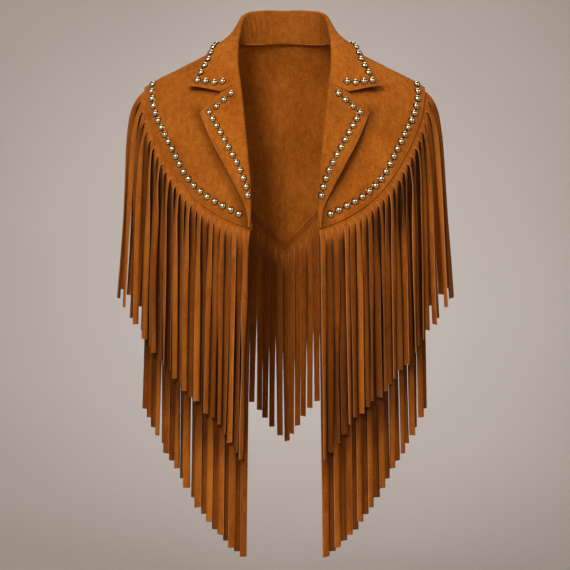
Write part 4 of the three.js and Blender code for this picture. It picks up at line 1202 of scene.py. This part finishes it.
def stand_points(u, gathers):
    """The fold's arc, the stand inside the neck and its seam allowance under the panels"""
    centre, open_way, out, _, seam_place, along = collar_frame(u)
    arc = fold_arc(centre, out, open_way)
    down = unit(np.cross(along, outward(seam_place)))
    away = np.where(dot(down, open_way) < 0, down, -down)
    under = np.full(len(u), STAND_DEPTH)
    seam = lifted(seam_place, under)
    reach = np.full(len(u), float(STAND_UNDER))
    for _ in range(4):
        low = lifted(moved(seam_place, away, reach), under)
        level = STAND_LEVEL - STAND_FALL * (low[-1, 1] - low[:, 1])
        short = (level - low[:, 2]) / np.minimum(STAND_LEAST_FALL, away[:, 2])
        reach = reach + short * soft_step(u, *STAND_LEVELLED)
    stand = []
    for share in STAND_SHARES:
        gathered = gathers * np.sin(np.pi * min(1, GATHER_UP + share))
        bow = (STAND_BOW + gathered) * np.sin(np.pi * share)
        stand.append(between(arc[:, -1], seam, share) - out * bow[:, None])
    tail = [between(seam, low, share) for share in STAND_TAIL]
    return np.concatenate([arc, np.stack(stand + tail, axis=1)], axis=1)


def gather_height(u, side):
    own = [gather for gather in GATHERS if gather["side"] == side]
    return sum(gather["height"] * hill(u - gather["at"], GATHER_WIDTH) for gather in own)


def collar_half(side):
    shares = np.append(1 - crowded(COLLAR_CELLS[0])[:-2], 0)
    u, v = np.meshgrid(shares, notched(COLLAR_CELLS[1])[::-1], indexing="ij")
    stand = stand_points(shares, gather_height(shares, side))
    half = np.concatenate([collar_fall(u, v), stand], axis=1)
    half[-1, :, 0] = 0
    return half


def collar_face(u, v):
    """Points on the fall's outer face, with normals"""
    along = collar_fall(u + COLLAR_STEP, v) - collar_fall(np.maximum(0, u - COLLAR_STEP), v)
    across = collar_fall(u, v + COLLAR_STEP) - collar_fall(u, v - COLLAR_STEP)
    normal = unit(np.cross(along, across))
    normal = np.where(dot(normal, collar_frame(u)[2]) < 0, -normal, normal)
    return collar_fall(u, v) + normal * SUEDE / 2, normal


def fall_inset(u, inset):
    """How far across the fall a line runs that keeps a distance from its edge"""
    one = np.ones_like(u)
    width = np.linalg.norm(collar_fall(u, one) - collar_fall(u, 0 * one), axis=-1)
    return 1 - inset / width


def collar_studs():
    side_u = (1 - COLLAR_STUD_FRONT["outer"]) * np.linspace(1, 0, 60)
    side_v = fall_inset(side_u, COLLAR_STUD_INSET)
    front_u = 1 - np.linspace(COLLAR_STUD_FRONT["inner"], COLLAR_STUD_FRONT["outer"], 16)
    front_v = COLLAR_STUD_START + (side_v[0] - COLLAR_STUD_START) * np.linspace(0, 1, 16)
    front = evenly(*collar_face(front_u, front_v), COLLAR_FRONT_STUDS)
    side = evenly(*collar_face(side_u, side_v), COLLAR_SIDE_STUDS + 1)
    return whole_row(*(np.vstack([a, b[1:]]) for a, b in zip(front, side)))


def paint_stand_shade(collar, rows, columns):
    """Paints shade on what is past the fold, the stand inside the neck"""
    start, end = (COLLAR_CELLS[1] + cells for cells in STAND_SHADE_CELLS)
    past = STAND_PAINTED_SHADE * soft_step(np.arange(columns), start, end)
    grid = np.tile(past, rows)
    rim = np.zeros(len(collar.data.vertices) - 2 * len(grid))
    shade = np.concatenate([grid, grid, rim]).astype(np.float32)
    collar.data.attributes["shade"].data.foreach_set("value", shade)


def make_collar():
    left, right = collar_half("left"), collar_half("right")
    middle = np.concatenate([left, right[:-1][::-1] * MIRROR])
    collar = suede_piece("collar_suede", middle)
    paint_stand_shade(collar, *middle.shape[:2])
    dress(collar, "suede", "collar")
    # Painted shadow on the front panels under the collar's front edge, from near the tip to the notch
    tip, notch = on_form(from_front([COLLAR_TIP, COLLAR_NOTCH]))
    along = COLLAR_SHADOW_START + (1 - COLLAR_SHADOW_START) * np.linspace(0, 1, 40)
    for label, turn in SIDES.items():
        beside = between(tip, notch, along) * turn
        paint_shade_near(bpy.data.objects[f"yoke_front_{label}"], beside, **COLLAR_SHADOW)
    studs, normals = collar_studs()
    row = stud_row("collar_stud_row", studs + normals * STUD_SEAT, normals, "studs_collar")
    sewn = collar_face(COLLAR_SEWN, fall_inset(COLLAR_SEWN, STITCH_INSET))
    thread = stitch_row("collar_stitches", whole_row(*sewn))


make_collar()


# Fringe: each tier is one strip of thinner suede, sewn on under the panel's edge and slit by
# hand into long strands. The strands hang straight, with uneven twist, lean and curl.
FRINGE_SUEDE = 1.5
STRAND_SHARE = 0.985           # a strand's width, as a share of the pitch
ROOT_SHARE = 0.995
BAND_END = 1                   # how far below the hem the slits start
EASE = 0.4                     # room between the panel and the strip
TIP_EASE = 1.5                 # how much more room there is at the shoulder tip
TIP_EASE_RUN = 45
UPPER_LIFT = -CAD_CLOTH - SEAM_GAP - EASE
CENTRE_GAP = 0.05              # keeps the mirrored halves of the back's strip apart
STRIP_ROWS = 9
STRIP_EDGE = 5.0               # what the uncut strip carries as its distance from a cut
SEWN_ROWS = (2, 4)             # rows of the strip's inner face that carry painted shade, for sewn grooves
SEWN_SHADE = 0.62
# painted shade on the strip's inner face
STRIP_INNER_SHADE = 0.1
INNER_INSETS = (8.5, 13.25)    # two sewn lines inside the back, up from the hem
INNER_SEWN = (0.02, 1, 160)
THREAD_OUT = 0.1
LENGTH_SPREAD = 3
STRAND_STEPS = 46
STEP_CROWDING = 1.25           # steps stand closer together near the root
LAST_STEPS = (0.997, 1)
CUT_SHARE = 0.99               # past this share of its length a strand's end is cut aslant
# Where across its width a strand's points lie, and how thick it is there
ACROSS = np.array([-1, -0.86, -0.5, 0, 0.5, 0.86, 1])
THROUGH = np.array([0.3, 0.85, 1, 1, 1, 0.85, 0.3])
WIDE = len(ACROSS)
# How a strand leaves the hem and hangs. A run is a distance in which something fades away.
FLARE = 0.115
FLARE_RUN = 55
CENTRE_LEAN = 0.012
CENTRE_LEAN_FROM = 50
BEND_RUN = 60
STAND_RUN = 30
SIDE_TURN = 0.25
TURN_RUN = 25
ROW_SPREAD = 0.6
ROOT_RUN = (0, 16)
LOOSE_RUN = (3, 60)
LEAN_POWER = 1.4
# How it turns about its own length, in degrees. Below a steep hem the strands are combed, all
# turned to one side near the root. Near the shoulder tip they turn to the front further down.
TURN_END = 0.75
COMB_TURN = 36
COMB_START = (3, 14)
COMB_FADE = (130, 40)
COMB_SLOPE = (0.1, 0.75)
COMB_FROM = (0.1, 0.35)
COMB_HOLD = 0.7                # how much of its own turn a combed strand loses
FRONT_TURN = -45
FRONT_TURN_RUN = (4, 70)
FRONT_TURN_FADE = (0.02, 0.42)
SWAY_START = (5, 70)
TIPS_RUN = (0.4, 0.85)
# Every second strand hangs behind: how much each kind stands out and is wider, and its painted shade
DRIFT = 3.2
DRIFT_WINDOW = 7
BACK_ROW = {"depth": -3.4, "width": 0.06}
FRONT_ROW = {"depth": 1.4, "width": -0.02, "dim": 0.04}
# What each habit of a strand is drawn from: its range, or its spread round none
RANGES = {
    "strong": (38, 66), "weak": (8, 30), "dim": (-0.05, 0.18), "side_shade": (0.5, 1),
    "comb": (0.8, 1.2), "turn_from": (-0.1, 0.25), "sway": (6, 20), "sway_run": (38, 75),
    "cup": (0.5, 1.5), "curl": (0.6, 2.2), "curl_run": (70, 130), "phase": (0, 6.3)}
SPREADS = {"lean": 1.3, "depth": 0.9, "width": 0.04, "slant": 0.6, "tone": 0.8}
# Painted shade on one side of a strand and on its inner face, and painted shadow on the lower
# tier where the upper covers it
SHADE_RUN = (4, 30)
SIDE_SHADE = {"strength": 0.95, "power": 2.5}
STRAND_INNER_SHADE = 0.08
COVERED_SHADOW = {"strength": 0.75, "below": 120, "above": -10}
SHADE_MOST = 0.9
TONE_RUN = (0, 60)
# Each tier: its strands, where along the hem it runs, the strip's height at the tip and
# further on, how far strands stand off, how squarely they leave the hem and how wide they bend.
# "under" is how much of it the upper tier covers, with painted shadow, "dim" the painted shade
# of the strands behind, "spread" how much wider strands get, along the distance "widen", and
# "tips" how much narrower at their end. "twist" is the share of strongly turned ones. Lengths
# are given at places "at".
TIERS = {
    "upper": {
        "count": 24, "from": 0.012, "to": 0.998, "tip": 12, "full": 12, "stand": 4,
        "square": 0.75, "bend": (20, 7), "lift": UPPER_LIFT,
        "under": 0, "dim": 0.5, "spread": 1.04, "widen": (15, 90), "tips": 1,
        "twist": 0.5, "swing": 1, "comb": 1, "apart": 0.85, "lean": 0.6,
        "at": (0, 0.1, 0.2, 0.31, 0.45, 0.65, 0.8, 0.95, 1),
        "length": (345, 335, 322, 316, 301, 304, 316, 354, 357)},
    "lower": {
        "count": 20, "from": 0.22, "to": 0.998, "tip": 12, "full": 12, "stand": -5,
        "square": 0.15, "bend": (29, 5), "lift": UPPER_LIFT - FRINGE_SUEDE - SEAM_GAP,
        "under": 300, "dim": 0.55, "spread": 1.2, "widen": (2, 26), "tips": 1,
        "twist": 0.08, "swing": 0.45, "comb": 1, "apart": 0.5, "lean": 0.2,
        "at": (0.2, 0.5, 0.72, 0.9, 1),
        "length": (447, 450, 480, 504, 516)},
    "back": {
        "count": 55, "from": 0.006, "to": 0.994, "tip": 11, "full": 18, "stand": 2,
        "square": 0, "bend": (29, 5), "lift": UPPER_LIFT,
        "under": 0, "dim": 0.14, "spread": 1.14, "widen": (2, 26), "tips": 0.8,
        "twist": 0.06, "swing": 0.4, "comb": 0, "apart": 1, "lean": 0.8,
        "at": (0, 0.25, 0.42, 0.5, 0.58, 0.75, 1),
        "length": (325, 302, 296, 313, 296, 302, 325)},
}
FRINGE_DARK = (0.24, 0.054, 0.004)
FRINGE_MIDDLE = (0.40, 0.1, 0.0075)
FRINGE_LIGHT = (0.52, 0.15, 0.015)
FRINGE_CUT = (0.52, 0.235, 0.085)
fringe_suede = suede_finish(
    "fringe_suede", FRINGE_DARK, FRINGE_MIDDLE, FRINGE_LIGHT, FRINGE_CUT,
    worn=0.6, sewn=0.0, patch=0.03, grain=(1, 1, 0.3))


def near_tip(line, at):
    """1 at the shoulder tip, fading away along the hem"""
    return np.exp(-at * line.length / TIP_EASE_RUN)


class HemWalk:
    """A hem walked by its length in plan, so that strands that hang down are evenly apart"""
    def __init__(self, line, samples=300):
        self.line = line
        self.shares = np.linspace(0, 1, samples + 1)
        self.plan = walked(on_form(line.at(self.shares))[:, :2])

    def to_share(self, part):
        return np.interp(part * self.plan[-1], self.plan, self.shares)

    def to_part(self, at):
        return np.interp(at, self.shares, self.plan) / self.plan[-1]


def unevenness(i):
    """A number from -1 to 1 for each strand, so that neighbours differ in length"""
    return np.sin(i * 12.9898 + 78.233) * 0.6 + np.sin(i * 4.1414 + 37.719) * 0.4


class Fringe:
    def __init__(self, tier, walk, seed, mirrored=False):
        self.tier, self.walk, self.line, self.mirrored = tier, walk, walk.line, mirrored
        self.chance = np.random.default_rng(seed)
        self.count = tier["count"]
        self.start, self.end = walk.to_part(tier["from"]), walk.to_part(tier["to"])
        self.pitch = (self.end - self.start) / self.count
        self.middles = self.start + (np.arange(self.count) + 0.5) * self.pitch
        self.width = STRAND_SHARE * self.pitch * walk.plan[-1] * (2 if mirrored else 1)
        self.lengths = np.interp(self.middles, tier["at"], tier["length"])
        self.lengths = self.lengths + LENGTH_SPREAD * unevenness(np.arange(self.count))

    def share_at(self, part):
        return self.walk.to_share(2 * np.minimum(part, 1 - part) if self.mirrored else part)

    def on_far_half(self, part):
        return self.mirrored & (part > 0.5)

    def root_parts(self, across):
        """How far along the hem from a strand's middle a point across its root lies"""
        return across * ROOT_SHARE * self.pitch / 2

    def path(self, part, distance):
        """Middle of the suede at distances below the hem: part is (n,), distance (n, m)"""
        at = self.share_at(part)
        place, _, normal, off = self.line.frame(at)
        away = downward(off)
        lift = self.tier["lift"] - FRINGE_SUEDE / 2 - TIP_EASE * near_tip(self.line, at)
        root = lifted(moved(place, away, np.full(len(at), BAND_END)), lift)
        from_tip = (at * self.line.length)[:, None]
        bend = self.tier["bend"][1] + self.tier["bend"][0] * np.exp(-from_tip / BEND_RUN)
        lean = FLARE * np.exp(-from_tip / FLARE_RUN)
        centre_lean = CENTRE_LEAN * np.minimum(1, np.abs(place[:, :1]) / CENTRE_LEAN_FROM)
        straight = np.concatenate([-centre_lean, 0 * lean, -1 + 0 * lean], axis=1)
        hang = unit(straight + normal * [1, SIDE_TURN, 0] * lean)
        downhill = unit(normal * normal[:, 2:] - [0, 0, 1])
        downhill[:, 1] *= 1 - np.exp(-from_tip[:, 0] / BEND_RUN)
        leave = unit(away * self.tier["square"] + downhill * (1 - self.tier["square"]))
        outwards = unit(normal * [1, 1, 0])
        bent = (bend * (1 - np.exp(-distance / bend)))[..., None]
        stand = (self.tier["stand"] * (1 - np.exp(-distance / STAND_RUN)))[..., None]
        points = root[:, None] + leave[:, None] * bent + hang[:, None] * (distance[..., None] - bent)
        return flipped(points + outwards[:, None] * stand, self.on_far_half(part)[:, None])

    def strip(self):
        """The uncut strip: rows of points on its outer and inner faces"""
        parts = (self.middles[:, None] + self.root_parts(ACROSS)).ravel()
        at = self.share_at(parts)
        place, _, _, off = self.line.frame(at)
        nearness = near_tip(self.line, at)
        top = -(self.tier["full"] + (self.tier["tip"] - self.tier["full"]) * nearness)
        rows = []
        for depth in (0, FRINGE_SUEDE):
            lift = self.tier["lift"] - TIP_EASE * nearness - depth
            for share in np.linspace(0, 1, STRIP_ROWS):
                on = moved(place, downward(off), top + (BAND_END - top) * share)
                if self.mirrored:
                    on[:, 0] = np.minimum(on[:, 0], -CENTRE_GAP)
                rows.append(flipped(lifted(on, lift), self.on_far_half(parts)))
        return np.stack(rows)

    def falls_to(self):
        return np.where(self.on_far_half(self.middles), -1, 1)

    def slope_here(self):
        """How steeply the hem runs at each strand, with a sign for the side it falls to"""
        at = self.share_at(self.middles)
        steepness = np.abs(self.line.frame(at)[1][:, 2])
        return self.falls_to() * soft_step(steepness, *COMB_SLOPE) * soft_step(at, *COMB_FROM)

    def drawn(self, habit):
        return self.chance.uniform(*RANGES[habit], self.count)

    def varied(self, habit):
        return self.chance.normal(0, SPREADS[habit], self.count)

    def either_way(self):
        return self.chance.choice([-1, 1], self.count)

    def habits(self):
        """How each strand departs from hanging straight and flat"""
        n, tier = self.count, self.tier
        window = np.hanning(DRIFT_WINDOW) / 2
        drift = self.chance.normal(0, 1, n + DRIFT_WINDOW - 1)
        drift = np.convolve(drift, window, mode="valid")[:n]
        strong = self.chance.random(n) < tier["twist"]
        turn = np.where(strong, self.drawn("strong"), self.drawn("weak"))
        behind = np.arange(n) % 2 == 0
        depth, wider = (np.where(behind, BACK_ROW[key], FRONT_ROW[key]) for key in ("depth", "width"))
        at_front = 1 - soft_step(self.share_at(self.middles), *FRONT_TURN_FADE)
        return {
            "lean": (DRIFT * drift + self.varied("lean")) * tier["lean"],
            "depth": (depth + self.varied("depth")) * tier["apart"],
            # painted shade: strands behind are darker, and each has one darker side
            "dim": np.where(behind, tier["dim"], FRONT_ROW["dim"]) + self.drawn("dim"),
            "side_shade": self.drawn("side_shade") * self.either_way(),
            "comb": np.radians(self.drawn("comb") * COMB_TURN) * self.slope_here() * tier["comb"],
            "turn": np.radians(turn * tier["swing"] * self.either_way()),
            "front": np.radians(FRONT_TURN) * self.falls_to() * at_front,
            "turn_from": self.drawn("turn_from"),
            "sway": np.radians(self.drawn("sway") * tier["swing"]),
            "sway_run": self.drawn("sway_run"),
            "cup": self.drawn("cup"),
            "curl": self.drawn("curl") * self.either_way(),
            "curl_run": self.drawn("curl_run"),
            "phase": self.drawn("phase"),
            "width": 1 + self.varied("width") + wider,
            "slant": self.varied("slant"),
            "tone": self.varied("tone"),
        }

    def strands(self, habits):
        """Rings of points down each strand: strand, step, then the outside and the inside"""
        steps = np.linspace(0, 1, STRAND_STEPS) ** STEP_CROWDING
        steps = np.concatenate([steps[1:-1], LAST_STEPS])
        distance = self.lengths[:, None] * steps
        own = {name: values[:, None] for name, values in habits.items()}
        part, aside = self.middles, self.pitch / 4
        centre = self.path(part, distance)
        direction = unit(self.path(part, distance + 1) - self.path(part, distance - 1))
        here = unit(self.path(part + aside, distance) - self.path(part - aside, distance))
        low = np.maximum(self.start, part - ROW_SPREAD * self.pitch)
        high = np.minimum(self.end, part + ROW_SPREAD * self.pitch)
        span = self.lengths[:, None]
        row_end = unit((self.path(high, span) - self.path(low, span)) * [1, 1, 0])
        row = here + (row_end - here) * (1 - np.exp(-distance / TURN_RUN))[..., None]
        row = unit(row - direction * dot(row, direction))
        out = np.cross(direction, row)
        outside = flipped(self.line.frame(self.share_at(part))[2], self.on_far_half(part))[:, None]
        out = np.where(dot(out, outside) < 0, -out, out)
        share = distance / span
        turn = own["turn"] * soft_step(share, own["turn_from"], TURN_END)
        combed = soft_step(distance, *COMB_START) * soft_step(distance, *COMB_FADE)
        turn = turn * (1 - COMB_HOLD * combed) + own["comb"] * combed
        turn = turn + own["front"] * soft_step(distance, *FRONT_TURN_RUN)
        swinging = np.sin(distance / own["sway_run"] + own["phase"])
        turn = turn + own["sway"] * swinging * soft_step(distance, *SWAY_START)
        cos, sin = np.cos(turn)[..., None], np.sin(turn)[..., None]
        across = row * cos + out * sin
        facing = out * cos - row * sin
        loose = soft_step(distance, *LOOSE_RUN)
        wave = own["curl"] * share * np.sin(distance / own["curl_run"] + own["phase"])
        centre = centre + row * (own["lean"] * share ** LEAN_POWER)[..., None]
        centre = centre + out * (own["depth"] * loose + wave)[..., None]
        width = self.width / 2 * own["width"]
        width = width * (1 + (self.tier["spread"] - 1) * soft_step(distance, *self.tier["widen"]))
        width = width * (1 + (self.tier["tips"] - 1) * soft_step(share, *TIPS_RUN))
        free = soft_step(distance, *ROOT_RUN)[..., None]
        points = []
        for order, sign in ((range(WIDE), 1), (reversed(range(WIDE)), -1)):
            flat = sign * FRINGE_SUEDE / 2
            for k in order:
                rooted = self.path(part + self.root_parts(ACROSS[k]), distance)
                level = flat + (flat * THROUGH[k] - flat) * free
                bowed = level - free * (own["cup"] * ACROSS[k] ** 2)[..., None]
                hung = centre + across * (ACROSS[k] * width)[..., None] + facing * bowed
                cut = direction * (own["slant"] * ACROSS[k] * (share > CUT_SHARE))[..., None]
                points.append(rooted + out * level + (hung - rooted - out * level) * free + cut)
        return np.stack(points, axis=2), distance

    def shade(self, habits, distance, across):
        """Painted shade on each point: strands of the hidden row, one side of each, the inner face, and
        under the upper tier
        """
        down = soft_step(distance, *SHADE_RUN)[..., None]
        side_shade = np.maximum(0, habits["side_shade"][:, None, None] * across) ** SIDE_SHADE["power"]
        inside = np.where(np.arange(2 * WIDE) < WIDE, 0.0, STRAND_INNER_SHADE)
        dim = habits["dim"][:, None, None] * down + SIDE_SHADE["strength"] * side_shade * down + inside
        if self.tier["under"]:
            end, start = (self.tier["under"] + COVERED_SHADOW[key] for key in ("below", "above"))
            dim = dim + COVERED_SHADOW["strength"] * soft_step(distance[..., None], end, start)
        return np.minimum(SHADE_MOST, dim)

    def make(self, name, turn=1):
        habits, strip = self.habits(), self.strip()
        rings, distance = self.strands(habits)
        points = np.vstack([strip.reshape(-1, 3), rings.reshape(-1, 3)]) * turn
        made = closed_mesh(name, points, fringe_faces(*distance.shape))
        across = np.concatenate([ACROSS, ACROSS[::-1]])
        from_side = (1 - np.abs(across)) * self.width / 2
        from_end = (self.lengths[:, None] - distance)[..., None]
        strip_edge = np.full(strip.shape[:2], STRIP_EDGE)
        strip_edge[[STRIP_ROWS - 1, 2 * STRIP_ROWS - 1]] = np.tile(from_side[:WIDE], self.count)
        strip_edge[[0, STRIP_ROWS]] = 1
        # Painted shade on the strip's inner face and on its sewn rows
        strip_shade = np.zeros(strip.shape[:2])
        strip_shade[STRIP_ROWS:] = STRIP_INNER_SHADE
        strip_shade[[STRIP_ROWS + row for row in SEWN_ROWS]] = SEWN_SHADE
        tone = habits["tone"][:, None] * soft_step(distance, *TONE_RUN)
        carried = {
            "edge": (strip_edge, np.minimum(from_side, from_end)),
            "tone": (np.zeros(strip.shape[:2]), np.repeat(tone, 2 * WIDE)),
            "shade": (strip_shade, self.shade(habits, distance, across))}
        for attribute, (on_strip, on_strands) in carried.items():
            set_attribute(made, attribute, np.concatenate([on_strip.ravel(), on_strands.ravel()]))
        made.data.materials.append(fringe_suede)
        return made


def fringe_faces(count, steps):
    """Faces of the strip, left open over each strand, then of the strands' sides and cut ends"""
    columns, last = WIDE * count, STRIP_ROWS - 1
    outer, inner = np.arange(2 * STRIP_ROWS * columns).reshape(2, STRIP_ROWS, columns)
    strip = []
    for c in range(columns - 1):
        d = c + 1
        for r in range(last):
            strip.append([outer[r, c], outer[r + 1, c], outer[r + 1, d], outer[r, d]])
            strip.append([inner[r, c], inner[r, d], inner[r + 1, d], inner[r + 1, c]])
        strip.append([outer[0, c], outer[0, d], inner[0, d], inner[0, c]])
        if d % WIDE == 0:
            strip.append([outer[last, c], inner[last, c], inner[last, d], outer[last, d]])
    for r in range(last):
        strip.append([outer[r, 0], inner[r, 0], inner[r + 1, 0], outer[r + 1, 0]])
        strip.append([outer[r, -1], outer[r + 1, -1], inner[r + 1, -1], inner[r, -1]])
    root = np.concatenate([
        outer[-1].reshape(count, WIDE), inner[-1].reshape(count, WIDE)[:, ::-1]], axis=1)
    rings = 2 * STRIP_ROWS * columns + np.arange(count * steps * 2 * WIDE)
    rings = np.concatenate([root[:, None], rings.reshape(count, steps, 2 * WIDE)], axis=1)
    beside = np.roll(rings, -1, axis=2)
    sides = np.stack([rings[:, :-1], rings[:, 1:], beside[:, 1:], beside[:, :-1]], axis=-1)
    front, back = rings[:, -1, :WIDE], rings[:, -1, :WIDE - 1:-1]
    ends = np.stack([front[:, :-1], back[:, :-1], back[:, 1:], front[:, 1:]], axis=-1)
    strands = np.concatenate([sides.reshape(count, -1, 4), ends], axis=1)
    return [np.array(strip), strands.reshape(-1, 4)]


def inner_line(inset):
    """A sewn line inside the back, through the fringe's strip"""
    seam = inside_line(back_hem, inset, *INNER_SEWN)
    at = np.linspace(*INNER_SEWN[:2], len(seam))
    lift = UPPER_LIFT - FRINGE_SUEDE - THREAD_OUT - TIP_EASE * near_tip(back_hem, at)
    return whole_row(lifted(seam, lift), -outward(seam))


front_walk, back_walk = HemWalk(front_hem), HemWalk(back_hem)
for (label, turn), seed in zip(SIDES.items(), (11, 23)):
    upper = Fringe(TIERS["upper"], front_walk, seed).make(f"upper_fringe_{label}", turn)
    dress(upper, "fringe_suede", f"fringe_upper_{label}")
    lower = Fringe(TIERS["lower"], front_walk, seed + 1).make(f"lower_fringe_{label}", turn)
    dress(lower, "fringe_suede", f"fringe_lower_{label}")
stitch_row("back_inner_stitches", *map(inner_line, INNER_INSETS))
back_fringe = Fringe(TIERS["back"], back_walk, 37, mirrored=True).make("back_fringe")
dress(back_fringe, "fringe_suede", "fringe_back")


# Plain soft studio light: a small strong key from the upper left in front, a wide soft one
# from the front, weaker ones from both sides and above, and one on the backdrop. A dark flag
# to the right of the camera, which doesn't see it, is there for the studs to mirror.
WHITE_WARM = (1, 0.98, 0.96)
LIGHTS = table(("name", "at", "aim", "size", "power", "colour"), [
    ("key", (-0.8, -2.7, 1.25), (0, 0, -0.25), 0.7, 48, (1, 0.97, 0.93)),
    ("front", (-0.3, -3.3, 0.9), (0, 0, -0.3), 2.4, 34, WHITE_WARM),
    ("left", (-2.7, -2.0, 0.5), (0, 0, -0.2), 1.6, 8, WHITE_WARM),
    ("right", (2.7, -2.0, 0.8), (0, 0, -0.2), 1.4, 15, WHITE_WARM),
    ("top", (0.2, 0.8, 2.2), (0, 0, 0), 1.4, 14, WHITE_WARM),
    ("backdrop", (0, 1.6, 1.7), (0, 5.2, -0.5), 1.7, 56, (1, 0.98, 0.97))])
ROOM = (0.14, 0.138, 0.135, 1)
FLAG = {"left": 0.5, "right": 2.9, "low": -1.34, "high": 0.05, "y": -2.4}
FLAG_CORNERS = [("left", "low"), ("right", "low"), ("right", "high"), ("left", "high")]
FLAG_COLOUR = (0.01, 0.01, 0.01, 1)

corners = [(FLAG[x], FLAG["y"], FLAG[z]) for x, z in FLAG_CORNERS]
flag = to_mesh("dark_flag", corners, [(0, 3, 2, 1)])
flag.data.materials.append(Finish("dark_cloth").surface(Base_Color=FLAG_COLOUR, Roughness=1.0))
flag.visible_camera = False
for row in LIGHTS:
    area = bpy.data.lights.new(row["name"], "AREA")
    area.shape, area.size = "DISK", row["size"]
    area.energy, area.color = row["power"], row["colour"]
    lamp = bpy.data.objects.new(row["name"], area)
    bpy.context.scene.collection.objects.link(lamp)
    lamp.location = row["at"]
    away = np.array(row["at"]) - row["aim"]
    lamp.rotation_euler = (math.atan2(math.hypot(away[0], away[1]), away[2]), 0,
                           math.atan2(away[0], -away[1]))
room = bpy.data.worlds.new("room")
room.use_nodes = True
room.node_tree.nodes["Background"].inputs["Color"].default_value = ROOM
bpy.context.scene.world = room
bpy.context.scene.view_settings.view_transform = "Standard"
